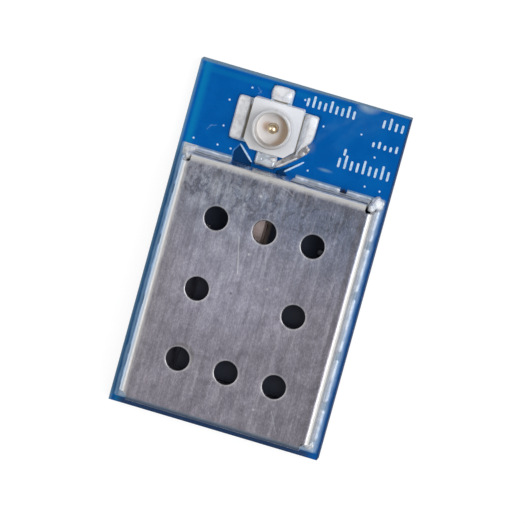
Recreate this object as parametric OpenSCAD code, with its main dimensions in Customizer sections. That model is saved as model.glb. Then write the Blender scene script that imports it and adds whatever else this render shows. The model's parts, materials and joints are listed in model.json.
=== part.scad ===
// Surface-mount radio module: a small circuit board that carries a folded shield can over its radio
// parts and a push-on coaxial socket for the antenna lead. Sizes are in millimetres.
// +Z points up out of the board and +Y points to the socket's end. The origin is at the middle of
// the board's underside. The board's outline follows from what stands on it and the margins around it.

/* [Shield can] */
// Width of the can over its side walls
can_w = 10; // [9:0.1:12]
// Length of the can over its end walls
can_l = 13; // [12:0.1:16]
// Height of the can above the board
can_h = 1.8; // [1.4:0.05:3]
// Thickness of the can's sheet
sheet_t = 0.2; // [0.1:0.01:0.3]
// Inside radius of the can's folds
fold_in_r = 0.1; // [0.05:0.01:0.25]
// Radius of the round relief at each corner of the roof
relief_r = 0.13; // [0.08:0.01:0.25]
// Sideways offset of the can on its land, as it was placed
can_shift = 0.08; // [0:0.01:0.1]
// Width of each cut-out in the foot of the walls
foot_gap_w = 0.36; // [0.2:0.02:0.8]
// Height of each cut-out in the foot of the walls
foot_gap_h = 0.3; // [0.15:0.05:0.5]
// Distance from the middle of the can to the inner cut-outs in the side walls
foot_gap_inner = 1.6; // [1:0.1:2.6]
// Distance from the middle of the can to the outer cut-outs in the side walls
foot_gap_outer = 4.25; // [3.6:0.05:5.2]
// Distance from the middle of the can to the cut-outs in the end walls
foot_gap_end = 3.1; // [2.6:0.1:3.8]
// Width of the port in the end wall that the antenna feed passes through
feed_port_w = 1.7; // [1.2:0.1:2.6]
// Height of the port that the antenna feed passes through
feed_port_h = 0.45; // [0.3:0.05:0.8]

/* [Vent holes] */
// Diameter of the vent holes in the roof
vent_d = 1.2; // [0.8:0.05:1.6]
// Distance between the columns of vent holes
vent_pitch_x = 2.53; // [2:0.01:3]
// Distance between the rows of vent holes
vent_pitch_y = 3.7; // [2.5:0.05:4.4]

/* [Board] */
// Thickness of the circuit board
board_t = 0.8; // [0.6:0.05:1.6]
// Margin from the can to the long edges of the board
side_margin = 0.5; // [0.4:0.05:1.5]
// Margin from the can to the plain end of the board
end_margin = 0.5; // [0.4:0.05:2]
// Thickness of the bare lands, which lie flush in the board
land_t = 0.04; // [0.02:0.005:0.08]
// Reach of the can's land outside the walls
land_out = 0.2; // [0.15:0.01:0.35]
// Reach of the can's land inside the walls
land_in = 0.15; // [0.1:0.01:0.2]
// Width of the break in the can's land around the antenna feed
land_break_w = 3.33; // [2.6:0.05:3.8]
// Depth of the bare clearance beside the antenna feed, below the copper around it
clearance_t = 0.03; // [0.02:0.005:0.06]

/* [Underside contacts] */
// Pitch of the solder contacts
contact_pitch = 1.27; // [1.1:0.01:1.5]
// Width of a solder contact along the board's edge
contact_w = 0.8; // [0.5:0.05:1]
// Length of a solder contact in from the board's edge
contact_l = 1.1; // [0.7:0.05:1.3]
// Distance from a solder contact to the board's edge
contact_inset = 0.2; // [0.1:0.05:0.4]
// Number of solder contacts along each long edge
contacts_side = 11; // [6:1:12]
// Number of solder contacts along the plain end
contacts_end = 6; // [2:1:6]

/* [Antenna socket] */
// Side of the socket's square insulator
socket_w = 2.6; // [2.4:0.05:3.2]
// Height of the insulator above the board
socket_h = 0.6; // [0.5:0.05:0.8]
// Distance from the can to the insulator
feed_gap = 0.89; // [0.7:0.01:2]
// Distance of the socket from the board's centre line
socket_x = -1.02; // [-1.6:0.02:0.8]
// Chamfer of the insulator's corners on the feed side
socket_chamfer = 0.42; // [0.2:0.02:0.6]
// Outside diameter of the socket's contact ring
ring_d = 2; // [1.8:0.05:2.2]
// Wall of the contact ring
ring_wall = 0.16; // [0.1:0.01:0.2]
// Height of the contact ring above the board
ring_h = 1.25; // [1.1:0.05:1.6]
// Depth of the click groove round the contact ring
groove_depth = 0.05; // [0.02:0.01:0.07]
// Height of the click groove above the insulator
groove_h = 0.2; // [0.1:0.02:0.3]
// How much the drawn ring widens from its groove down to its foot
ring_draft = 0.02; // [0.01:0.005:0.03]
// Diameter of the centre pin
pin_d = 0.5; // [0.4:0.02:0.6]
// How much the drawn pin widens from the insulator's floor down to its tail
pin_draft = 0.04; // [0.02:0.01:0.06]
// Height of the centre pin above the board
pin_h = 1; // [0.8:0.05:1.2]
// Height of the insulator's floor inside the ring
floor_h = 0.4; // [0.3:0.02:0.5]
// Thickness of the socket's legs and tail
leg_t = 0.12; // [0.08:0.01:0.16]
// Reach of the legs and the tail beyond the insulator
leg_out = 0.25; // [0.15:0.01:0.35]
// Width of the two side legs
side_leg_w = 1.9; // [1.2:0.05:2.1]
// Width of the end leg and of the tail
tail_w = 0.6; // [0.4:0.02:0.8]
// Insulation between the tail and the ring that it passes under
tail_room = 0.2; // [0.1:0.02:0.3]
// Reach of the socket's lands beyond the insulator
socket_land_out = 0.78; // [0.5:0.01:1]
// Reach of the socket's lands under the insulator
socket_land_in = 0.35; // [0.2:0.01:0.4]
// Length of the two side lands
side_land_l = 2.26; // [2.1:0.02:2.4]
// Width of the end land and of the feed land
end_land_w = 1.08; // [0.9:0.02:1.2]
// Distance from the feed land to the can
feed_land_room = 0.11; // [0.05:0.01:0.3]
// Distance from the end land to the board's end
end_land_margin = 0.23; // [0.15:0.01:1]

/* [Solder] */
// Height of the solder up the can's walls
fillet_h = 0.28; // [0.12:0.02:0.5]
// Radius of the solder drop at each corner of the can
corner_drop_r = 0.26; // [0.18:0.01:0.32]
// Height of the solder over the socket's legs
leg_solder_h = 0.24; // [0.18:0.01:0.3]
// Height of the socket's solder near the outer edge of its lands
leg_solder_edge = 0.08; // [0.04:0.01:0.12]

/* [Radio chip] */
// Side of the square radio chip
chip_w = 6; // [5.4:0.1:6.4]
// Height of the radio chip
chip_h = 0.9; // [0.6:0.05:1.1]
// Place of the chip's middle along the can, from the middle of the can
chip_y = -1.3; // [-1.6:0.05:-0.9]
// Number of leads along each side of the radio chip
chip_leads = 9; // [4:1:10]
// Pitch of the radio chip's leads
lead_pitch = 0.5; // [0.4:0.05:0.6]
// Width of a lead
lead_w = 0.25; // [0.15:0.01:0.3]
// Length of a lead under the chip
lead_l = 0.45; // [0.3:0.05:0.5]
// Thickness of the chip's leads and heat pad
lead_t = 0.2; // [0.1:0.02:0.3]
// Side of the chip's square heat pad
heat_pad_w = 4.1; // [2:0.1:4.4]
// Depth of the round mark over the chip's first lead
chip_mark_t = 0.05; // [0.02:0.01:0.1]

/* [Crystals] */
// Width of the main crystal
main_crystal_w = 1.6; // [1.2:0.05:2]
// Length of the main crystal
main_crystal_l = 2; // [1.6:0.05:2.4]
// Height of the main crystal
main_crystal_h = 0.65; // [0.5:0.05:0.9]
// Distance of the main crystal from the can's middle line
main_crystal_x = -0.9; // [-1.2:0.05:-0.8]
// Width of the sleep crystal
sleep_crystal_w = 1.2; // [1:0.05:1.4]
// Length of the sleep crystal
sleep_crystal_l = 2; // [1.6:0.1:3]
// Height of the sleep crystal
sleep_crystal_h = 0.6; // [0.5:0.05:0.9]
// Height of a crystal's metal lid
crystal_lid_h = 0.25; // [0.15:0.05:0.3]
// Step from a crystal's ceramic base in to its lid
crystal_lid_inset = 0.1; // [0.05:0.01:0.15]

/* [Small chip parts] */
// Length of a chip capacitor, coil or resistor
part_l = 1; // [0.8:0.05:1.2]
// Width of a chip capacitor, coil or resistor
part_w = 0.5; // [0.3:0.02:0.6]
// Height of a chip capacitor or coil
part_h = 0.5; // [0.3:0.02:0.6]
// Height of a chip resistor
resistor_h = 0.35; // [0.25:0.02:0.4]
// Length of a part's metal end
part_end = 0.22; // [0.15:0.01:0.3]
// Step from a part's metal end in to its body
part_step = 0.02; // [0.01:0.005:0.04]
// Distance between parts that stand in one row
part_pitch = 1.75; // [1.5:0.05:1.9]
// Gap between parts that stand side by side
part_gap = 0.35; // [0.2:0.05:0.4]
// Gap between the inner parts and the can's walls
wall_gap = 0.25; // [0.2:0.01:0.3]
// Length of the balun filter
balun_l = 2; // [1.6:0.05:2.2]
// Width of the balun filter
balun_w = 1.25; // [1:0.05:1.3]
// Height of the balun filter
balun_h = 0.8; // [0.5:0.05:0.9]

/* [Hidden] */

$fn = 64;
// How far a cutting shape runs past the face that it cuts
over = 0.5;

// The board, and where the can and the socket stand on it
board_w = can_w + 2 * side_margin;
board_l = end_margin + can_l + feed_gap + socket_w + socket_land_out + end_land_margin;
can_y = -board_l / 2 + end_margin + can_l / 2;
socket_y = can_y + can_l / 2 + feed_gap + socket_w / 2;

// The can's folds, its flat roof, its clear inside and its walls
fold_r = fold_in_r + sheet_t;
roof_w = can_w - 2 * fold_r;
roof_l = can_l - 2 * fold_r;
inside_w = can_w - 2 * sheet_t;
inside_l = can_l - 2 * sheet_t;
side_wall_l = roof_l - 2 * relief_r;
end_wall_l = roof_w - 2 * relief_r;

// Cut-outs in the foot of each wall as [place, width, height], in the order that they come along the wall
feed_x = socket_x - can_shift;
side_gaps = [for (y = [-foot_gap_outer, -foot_gap_inner, foot_gap_inner, foot_gap_outer])
    [y, foot_gap_w, foot_gap_h]];
plain_end_gaps = [for (x = [-foot_gap_end, foot_gap_end]) [x, foot_gap_w, foot_gap_h]];
feed_end_gaps = [[-foot_gap_end, foot_gap_w, foot_gap_h], [-feed_x, feed_port_w, feed_port_h]];
feed_end_breaks = [[-foot_gap_end, foot_gap_w], [-feed_x, land_break_w]];

// Rows of small parts along the can's walls, measured from the middle of the can
west_x = -inside_w / 2 + wall_gap + part_w / 2;
east_x = inside_w / 2 - wall_gap - part_w / 2;
south_y = -inside_l / 2 + wall_gap + part_w / 2;
north_y = inside_l / 2 - wall_gap - part_gap;
corner_x = -inside_w / 2 + wall_gap + part_l / 2;

// The chip stands midway between the sleep crystal and the row on the east side
sleep_crystal_x = -inside_w / 2 + wall_gap + sleep_crystal_w / 2;
sleep_crystal_y = chip_y - chip_w / 6;
sleep_crystal_north = sleep_crystal_y + sleep_crystal_l / 2;
chip_x = (sleep_crystal_x + sleep_crystal_w / 2 + east_x - part_w / 2) / 2;
chip_north = chip_y + chip_w / 2;

// The radio's own parts stand between the chip and the feed end
beside_chip_y = chip_north + part_gap + part_l / 2;
main_crystal_y = chip_north + 2 * part_gap + main_crystal_l / 2;
balun_x = main_crystal_x + main_crystal_w / 2 + 2 * part_gap + balun_l / 2;
balun_y = north_y - balun_w / 2;
feed_coil_y = north_y - part_w / 2;

// Each place is [x, y, turn]
capacitor_places = concat(
    [for (i = [0:3]) [east_x, chip_north - part_l - i * part_pitch, 90]],
    [for (i = [-1:1]) [chip_x + i * part_pitch, south_y, 0]],
    [for (i = [0:1]) [west_x, sleep_crystal_north + part_gap + part_l / 2 + i * part_pitch, 90]]
);
coil_places = [
    [feed_x + part_gap, feed_coil_y, 0],
    [feed_x + part_gap - part_pitch, feed_coil_y, 0],
    [balun_x - balun_l / 4, beside_chip_y, 90]
];
resistor_places = [
    [balun_x + balun_l / 2 + part_gap, beside_chip_y + part_gap, 90],
    [west_x + part_w + 2 * part_gap, beside_chip_y, 90],
    [corner_x, south_y, 0]
];

// Puts its children in the can's own frame, on the board's top face
module in_can() {
    translate([can_shift, can_y, board_t]) children();
}

// Puts its children in the socket's own frame, on the board's top face
module in_socket() {
    translate([socket_x, socket_y, board_t]) children();
}

// Puts its children in the radio chip's own frame
module in_chip() {
    in_can() translate([chip_x, chip_y, 0]) children();
}

// Puts its children at each place of a list
module at_places(places) {
    for (p = places) translate([p[0], p[1], 0]) rotate(p[2]) children();
}

// A block that is centred in X and Y and stands on Z = 0
module block(size) {
    translate([-size[0] / 2, -size[1] / 2, 0]) cube(size);
}

// A block whose upright edges are chamfered
module chamfered_block(size, chamfer) {
    cut = (size[0] + size[1] - 2 * chamfer) / sqrt(2);
    intersection() {
        block(size);
        rotate(45) block([cut, cut, size[2]]);
    }
}

// The can's land as a plan outline: a frame that is broken round the feed and at one cut-out
module shield_land_outline() {
    outer = [can_w + 2 * land_out, can_l + 2 * land_out];
    inner = [inside_w - 2 * land_in, inside_l - 2 * land_in];
    translate([0, can_y]) difference() {
        square(outer, center = true);
        square(inner, center = true);
        translate([socket_x - land_break_w / 2, 0]) square([land_break_w, can_l]);
        translate([can_shift + foot_gap_end - foot_gap_w / 2, 0]) square([foot_gap_w, can_l]);
    }
}

// One land of the socket as a plan outline: it runs outwards along X from under the insulator
module socket_land_outline(width, out) {
    inner = socket_w / 2 - socket_land_in;
    translate([inner, -width / 2]) square([socket_land_in + out, width]);
}

// The four lands of the socket as plan outlines: two sides, the far end and the feed
module socket_land_outlines() {
    for (turn = [0, 180]) rotate(turn) socket_land_outline(side_land_l, socket_land_out);
    rotate(90) socket_land_outline(end_land_w, socket_land_out);
    rotate(270) socket_land_outline(end_land_w, feed_gap - feed_land_room);
}

// The bare clearance on both sides of the antenna feed, which runs on under the can's wall
module feed_clearance_outlines() {
    half = socket_w / 2;
    wall = -half - feed_gap;
    foot = wall - fold_r;
    near = wall + feed_land_room;
    feed = end_land_w / 2 + feed_land_room;
    reach = land_break_w / 2;
    polygon([[-half - feed_land_room, -half], [-feed, near], [-feed, foot],
             [feed_land_room - reach, foot], [-reach, -half - feed_gap / 2]]);
    polygon([[reach + land_out, -half], [feed, near], [feed, foot],
             [reach - feed_land_room, foot], [feed + feed_gap / 2, near]]);
}

// The underside contacts as a plan outline: a row along each long edge and one along the plain end
module contact_outlines() {
    x = board_w / 2 - contact_inset - contact_l / 2;
    y = -board_l / 2 + contact_inset + contact_l / 2;
    first = y + contact_l / 2 + contact_w;
    for (side = [-1, 1], i = [0:contacts_side - 1])
        translate([side * x, first + i * contact_pitch]) square([contact_l, contact_w], center = true);
    for (i = [0:contacts_end - 1])
        translate([(i - (contacts_end - 1) / 2) * contact_pitch, y]) square([contact_w, contact_l], center = true);
}

module circuit_board() {
    color([0, 0.36, 0.63]) difference() {
        block([board_w, board_l, board_t]);
        translate([0, 0, board_t - land_t]) linear_extrude(land_t + over) shield_land_outline();
        in_socket() translate([0, 0, -land_t]) linear_extrude(land_t + over) socket_land_outlines();
        in_socket() translate([0, 0, -clearance_t]) linear_extrude(clearance_t + over) feed_clearance_outlines();
        translate([0, 0, -over]) linear_extrude(land_t + over) contact_outlines();
    }
}

module contact_pads() {
    color([0.86, 0.7, 0.36]) linear_extrude(land_t) contact_outlines();
}

module shield_land() {
    color([0.8, 0.82, 0.85]) translate([0, 0, board_t - land_t]) linear_extrude(land_t) shield_land_outline();
}

module socket_lands() {
    color([0.8, 0.82, 0.85]) in_socket() translate([0, 0, -land_t]) linear_extrude(land_t) socket_land_outlines();
}

// The section of one folded wall: the bend, then the wall down to the board; X is outwards from the roof
module wall_section() {
    translate([0, can_h - fold_r]) intersection() {
        difference() {
            circle(fold_r);
            circle(fold_in_r);
        }
        square(fold_r);
    }
    translate([fold_in_r, 0]) square([sheet_t, can_h - fold_r]);
}

// One folded wall along Y, on the +X side of the roof, with cut-outs in its foot
module folded_wall(length, half_roof, gaps) {
    difference() {
        translate([half_roof, length / 2, 0]) rotate([90, 0, 0]) linear_extrude(length) wall_section();
        for (gap = gaps)
            translate([half_roof, gap[0] - gap[1] / 2, -over]) cube([fold_r + over, gap[1], gap[2] + over]);
    }
}

// The flat roof, with its vent holes in a square ring and a round relief at each corner
module roof() {
    difference() {
        block([roof_w, roof_l, sheet_t]);
        for (i = [-1:1], j = [-1:1])
            if (i != 0 || j != 0)
                translate([i * vent_pitch_x, j * vent_pitch_y, -over]) cylinder(d = vent_d, h = sheet_t + 2 * over);
        for (i = [-1, 1], j = [-1, 1])
            translate([i * roof_w / 2, j * roof_l / 2, -over]) cylinder(r = relief_r, h = sheet_t + 2 * over);
    }
}

// The can is one sheet: the roof with four walls folded down, open at the corners
module shield_can() {
    color([0.48, 0.48, 0.51]) in_can() {
        translate([0, 0, can_h - sheet_t]) roof();
        for (turn = [0, 180]) rotate(turn) folded_wall(side_wall_l, roof_w / 2, side_gaps);
        rotate(90) folded_wall(end_wall_l, roof_l / 2, feed_end_gaps);
        rotate(270) folded_wall(end_wall_l, roof_l / 2, plain_end_gaps);
    }
}

// One run of solder along Y in the corner between a wall at X = 0 and the land
module fillet_run(from, to, width) {
    hollow = 0.62;
    translate([0, to, 0]) rotate([90, 0, 0]) linear_extrude(to - from)
        polygon([[0, 0], [width, 0], [width * hollow, fillet_h * (1 - hollow) / 2],
                 [width * (1 - hollow), fillet_h * hollow * (1 - hollow) * 2], [0, fillet_h]]);
}

// Runs of solder along one wall, broken where a list of breaks says
module fillet_runs(length, breaks, width) {
    starts = concat([-length / 2], [for (b = breaks) b[0] + b[1] / 2]);
    ends = concat([for (b = breaks) b[0] - b[1] / 2], [length / 2]);
    for (i = [0:len(breaks)]) fillet_run(starts[i], ends[i], width);
}

// The drop of solder in the open corner between two walls, flat against the ends of both
module corner_drop(i, j) {
    x = end_wall_l / 2;
    y = side_wall_l / 2;
    r = corner_drop_r;
    set_out = 0.8 * r;
    intersection() {
        translate([i * (x + set_out), j * (y + set_out), 0]) sphere(r);
        translate([i * (x + r), j * (y + r), 0]) block([2 * r, 2 * r, r]);
    }
}

module shield_solder() {
    color([0.84, 0.85, 0.86]) in_can() {
        translate([can_w / 2, 0, 0]) fillet_runs(side_wall_l, side_gaps, land_out - can_shift);
        rotate(180) translate([can_w / 2, 0, 0]) fillet_runs(side_wall_l, side_gaps, land_out + can_shift);
        rotate(90) translate([can_l / 2, 0, 0]) fillet_runs(end_wall_l, feed_end_breaks, land_out);
        rotate(270) translate([can_l / 2, 0, 0]) fillet_runs(end_wall_l, plain_end_gaps, land_out);
        for (i = [-1, 1], j = [-1, 1]) corner_drop(i, j);
    }
}

// The socket's ring in section: a click groove runs round it just above the insulator
module ring_section() {
    r = ring_d / 2;
    neck = r - groove_depth;
    bore = r - ring_wall;
    lip = ring_wall / 4;
    groove_top = socket_h + groove_h;
    polygon([[bore, 0], [neck + ring_draft, 0], [neck, groove_top], [r, groove_top + groove_depth], [r, ring_h - lip],
             [r - lip, ring_h], [bore + lip, ring_h], [bore, ring_h - lip]]);
}

// A flat leg along X, from inside the ring's wall out past the insulator
module leg(width) {
    inner = ring_d / 2 - (groove_depth + ring_wall) / 2;
    reach = socket_w / 2 + leg_out;
    translate([inner, -width / 2, 0]) cube([reach - inner, width, leg_t]);
}

// The centre pin's flat tail, which runs under the ring and out to the feed land
module tail() {
    reach = socket_w / 2 + leg_out;
    translate([-tail_w / 2, -reach, 0]) cube([tail_w, reach, leg_t]);
}

// The ring and its three legs, one stamped piece, slotted where the tail passes under it
module socket_shell() {
    slot_w = tail_w + 2 * tail_room;
    color([0.83, 0.81, 0.78]) in_socket() difference() {
        union() {
            rotate_extrude() ring_section();
            for (turn = [0, 180]) rotate(turn) leg(side_leg_w);
            rotate(90) leg(tail_w);
        }
        translate([-slot_w / 2, -ring_d, -over]) cube([slot_w, ring_d, over + 2 * leg_t]);
        translate([0, 0, -over]) cylinder(r = ring_d / 2 - ring_wall, h = over + leg_t);
    }
}

// The centre pin, drawn up out of its tail and round at its tip
module socket_pin() {
    r = pin_d / 2;
    color([0.86, 0.68, 0.3]) in_socket() {
        rotate_extrude() {
            polygon([[0, 0], [r + pin_draft, 0], [r, floor_h], [r, pin_h - r], [0, pin_h - r]]);
            translate([0, pin_h - r]) intersection() {
                circle(r);
                square(r);
            }
        }
        tail();
    }
}

// The moulded insulator: chamfered on the feed side and filled in round the ring, the legs and the tail
module socket_insulator() {
    half = socket_w / 2;
    c = socket_chamfer;
    color([0.91, 0.89, 0.85]) difference() {
        in_socket() linear_extrude(socket_h)
            polygon([[-half, c - half], [c - half, -half], [half - c, -half], [half, c - half],
                     [half, half], [-half, half]]);
        in_socket() translate([0, 0, floor_h]) cylinder(r = ring_d / 2 - ring_wall, h = socket_h);
        socket_pin();
        socket_shell();
    }
}

// Solder on one land: it covers a leg's end and slopes down to the land's edge; X is outwards
module leg_solder(width, out) {
    crest = leg_solder_edge;
    start = socket_w / 2 + leg_out / 2;
    edge = socket_w / 2 + out;
    translate([0, width / 2, 0]) rotate([90, 0, 0]) linear_extrude(width)
        polygon([[start, 0], [edge, 0], [edge - crest, leg_solder_edge], [start + 2 * crest, leg_solder_h * 0.9],
                 [start + crest, leg_solder_h], [start, leg_solder_h * 0.9]]);
}

module socket_solder() {
    color([0.86, 0.86, 0.86]) in_socket() {
        for (turn = [0, 180]) rotate(turn) difference() {
            leg_solder(side_land_l, socket_land_out);
            leg(side_leg_w);
        }
        rotate(90) difference() {
            leg_solder(end_land_w, socket_land_out);
            leg(tail_w);
        }
        rotate(270) difference() {
            leg_solder(end_land_w, feed_gap - feed_land_room);
            leg(tail_w);
        }
    }
}

// Plan outlines of the chip's leads, along all four sides
module lead_outlines() {
    for (turn = [0:90:270], i = [0:chip_leads - 1])
        rotate(turn) translate([chip_w / 2 - lead_l / 2, (i - (chip_leads - 1) / 2) * lead_pitch])
            square([lead_l, lead_w], center = true);
}

module radio_chip_leads() {
    color([0.8, 0.8, 0.78]) in_chip() linear_extrude(lead_t) lead_outlines();
}

module radio_chip_heat_pad() {
    color([0.8, 0.8, 0.78]) in_chip() block([heat_pad_w, heat_pad_w, lead_t]);
}

// The moulded chip body, with a shallow round mark over its first lead
module radio_chip_body() {
    mark = chip_w / 2 - 2 * lead_l;
    color([0.06, 0.06, 0.07]) in_chip() difference() {
        block([chip_w, chip_w, chip_h]);
        translate([0, 0, -over]) linear_extrude(over + lead_t) lead_outlines();
        translate([0, 0, -over]) block([heat_pad_w, heat_pad_w, over + lead_t]);
        translate([-mark, mark, chip_h - chip_mark_t]) cylinder(d = lead_l, h = over);
    }
}

// A crystal's ceramic base
module crystal_base(size) {
    block([size[0], size[1], size[2] - crystal_lid_h]);
}

// The metal lid that closes a crystal
module crystal_lid(size) {
    inset = 2 * crystal_lid_inset;
    translate([0, 0, size[2] - crystal_lid_h])
        chamfered_block([size[0] - inset, size[1] - inset, crystal_lid_h], crystal_lid_inset);
}

main_crystal = [main_crystal_w, main_crystal_l, main_crystal_h];
sleep_crystal = [sleep_crystal_w, sleep_crystal_l, sleep_crystal_h];

module main_crystal_base() {
    color([0.25, 0.24, 0.25]) in_can() translate([main_crystal_x, main_crystal_y, 0]) crystal_base(main_crystal);
}

module main_crystal_lid() {
    color([0.72, 0.62, 0.56]) in_can() translate([main_crystal_x, main_crystal_y, 0]) crystal_lid(main_crystal);
}

module sleep_crystal_base() {
    color([0.25, 0.24, 0.25]) in_can() translate([sleep_crystal_x, sleep_crystal_y, 0]) crystal_base(sleep_crystal);
}

module sleep_crystal_lid() {
    color([0.72, 0.62, 0.56]) in_can() translate([sleep_crystal_x, sleep_crystal_y, 0]) crystal_lid(sleep_crystal);
}

// The body between a chip part's metal ends
module part_body(length, width, height) {
    step = 2 * part_step;
    translate([0, 0, part_step]) block([length - 2 * part_end, width - step, height - step]);
}

// The two metal ends of a chip part
module part_ends(length, width, height) {
    for (side = [-1, 1]) translate([side * (length - part_end) / 2, 0, 0]) block([part_end, width, height]);
}

module capacitor_bodies() {
    color([0.55, 0.42, 0.3]) in_can() at_places(capacitor_places) part_body(part_l, part_w, part_h);
}

module capacitor_ends() {
    color([0.82, 0.82, 0.82]) in_can() at_places(capacitor_places) part_ends(part_l, part_w, part_h);
}

module coil_bodies() {
    color([0.86, 0.87, 0.88]) in_can() at_places(coil_places) part_body(part_l, part_w, part_h);
}

module coil_ends() {
    color([0.82, 0.82, 0.82]) in_can() at_places(coil_places) part_ends(part_l, part_w, part_h);
}

module resistor_bodies() {
    color([0.08, 0.08, 0.09]) in_can() at_places(resistor_places) part_body(part_l, part_w, resistor_h);
}

module resistor_ends() {
    color([0.82, 0.82, 0.82]) in_can() at_places(resistor_places) part_ends(part_l, part_w, resistor_h);
}

module balun_body() {
    color([0.88, 0.9, 0.9]) in_can() translate([balun_x, balun_y, 0]) part_body(balun_l, balun_w, balun_h);
}

module balun_ends() {
    color([0.82, 0.82, 0.82]) in_can() translate([balun_x, balun_y, 0]) part_ends(balun_l, balun_w, balun_h);
}

circuit_board();
contact_pads();
shield_land();
shield_can();
shield_solder();
socket_lands();
socket_insulator();
socket_shell();
socket_pin();
socket_solder();
radio_chip_body();
radio_chip_leads();
radio_chip_heat_pad();
main_crystal_base();
main_crystal_lid();
sleep_crystal_base();
sleep_crystal_lid();
capacitor_bodies();
capacitor_ends();
coil_bodies();
coil_ends();
resistor_bodies();
resistor_ends();
balun_body();
balun_ends();
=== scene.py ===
# Looks of the radio module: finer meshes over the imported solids, their finishes, the light and the camera.
# Shapes are worked out in the frame's millimetres and written in metres.
import json
import math

import bmesh
import bpy
from mathutils import Matrix, Vector, noise


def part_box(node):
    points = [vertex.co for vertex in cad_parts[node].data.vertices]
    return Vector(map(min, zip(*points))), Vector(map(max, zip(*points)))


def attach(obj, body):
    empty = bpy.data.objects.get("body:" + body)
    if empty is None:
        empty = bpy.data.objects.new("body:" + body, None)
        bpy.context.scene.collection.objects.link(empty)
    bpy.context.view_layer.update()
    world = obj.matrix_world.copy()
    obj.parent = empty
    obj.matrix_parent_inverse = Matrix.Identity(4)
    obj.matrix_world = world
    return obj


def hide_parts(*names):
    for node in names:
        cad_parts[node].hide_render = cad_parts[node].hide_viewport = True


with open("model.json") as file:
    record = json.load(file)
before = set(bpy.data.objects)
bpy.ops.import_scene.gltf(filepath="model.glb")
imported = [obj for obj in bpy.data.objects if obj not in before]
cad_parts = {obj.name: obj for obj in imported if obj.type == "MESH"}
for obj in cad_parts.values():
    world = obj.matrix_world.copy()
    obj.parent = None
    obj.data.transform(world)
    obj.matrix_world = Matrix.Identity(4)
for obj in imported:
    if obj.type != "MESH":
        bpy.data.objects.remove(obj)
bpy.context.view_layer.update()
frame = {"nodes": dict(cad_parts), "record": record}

MM = 0.001
BODY = "root"


def box_mm(node):
    """A node's lowest and highest corner in millimetres."""
    low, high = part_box(node)
    return low / MM, high / MM


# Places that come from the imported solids
BOARD_HIGH = box_mm("circuit_board")[1]
CAN_LOW, CAN_HIGH = box_mm("shield_can")
LAND_LOW, LAND_HIGH = box_mm("shield_land")
BASE_LOW, BASE_HIGH = box_mm("socket_insulator")
SHELL_LOW, SHELL_HIGH = box_mm("socket_shell")
PIN_LOW, PIN_HIGH = box_mm("socket_pin")
PADS_LOW, PADS_HIGH = box_mm("socket_lands")
CHIP_LOW, CHIP_HIGH = box_mm("radio_chip_body")
LID_LOW, LID_HIGH = box_mm("main_crystal_lid")
TOP = BOARD_HIGH.z
ROOF = CAN_HIGH.z
CAN_MID = (CAN_LOW + CAN_HIGH) / 2
SOCKET = (BASE_LOW + BASE_HIGH) / 2

# The can's sheet, as the solid has it
SHEET = 0.2
FOLD = 0.3
RELIEF = 0.13
VENT_R = 0.6
VENT_PITCH = (2.53, 3.7)
FOOT_GAP = (0.36, 0.3)
SIDE_GAPS = (-4.25, -1.6, 1.6, 4.25)
END_GAP = 3.1
FEED_PORT = (1.7, 0.45)
FEED_BREAK = 3.33

# The socket, as the solids have it, with heights above the board
RING_R = 1.0
RING_WALL = 0.16
BORE_R = RING_R - RING_WALL
GROOVE = 0.05
GROOVE_TOP = 0.8
RING_DRAFT = 0.02
FLOOR_H = 0.4
PIN_R = 0.25
PIN_DRAFT = 0.04
LEG_T = 0.12
SIDE_LEG_W = 1.9
TAIL_W = 0.6
BASE_CHAMFER = 0.42
BASE_ROUND = 0.1
LAND_ROUND = 0.15
SIDE_LAND_HALF = 1.13
END_LAND_HALF = 0.54
SIDE_LOW, SIDE_HIGH = SOCKET.y - SIDE_LAND_HALF, SOCKET.y + SIDE_LAND_HALF
END_LOW, END_HIGH = SOCKET.x - END_LAND_HALF, SOCKET.x + END_LAND_HALF


# Shader trees

def operation(name, swapped=False):
    """A method that puts a value, and another one where there is one, through a math node."""
    def method(self, *other):
        return self.nodes.math(name, *((*other, self) if swapped else (self, *other)))
    return method


class Value:
    """An output in a shader tree, with the arithmetic of plain numbers."""

    __add__ = operation("ADD")
    __sub__ = operation("SUBTRACT")
    __rsub__ = operation("SUBTRACT", swapped=True)
    __mul__ = operation("MULTIPLY")
    __truediv__ = operation("DIVIDE")
    __abs__ = operation("ABSOLUTE")
    max = operation("MAXIMUM")
    min = operation("MINIMUM")

    def __init__(self, nodes, socket):
        self.nodes = nodes
        self.socket = socket

    def step(self, low, high, to_low, to_high):
        """A smooth step from to_low, where this is low, to to_high, where it is high."""
        ends = {"Value": self, "From Min": low, "From Max": high, "To Min": to_low, "To Max": to_high}
        return self.nodes.fed("MapRange", ends, interpolation_type="SMOOTHSTEP")

    def rise(self, low, high, share=1.0):
        """A smooth step from 0 up to a share."""
        return self.step(low, high, 0.0, share)

    def fall(self, low, high, share=1.0):
        """A smooth step from a share down to 0."""
        return self.step(low, high, share, 0.0)

    def band(self, start, full, fade, end):
        """1 between full and fade, falling to 0 at start and end."""
        return self.rise(start, full) * self.fall(fade, end)


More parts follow.
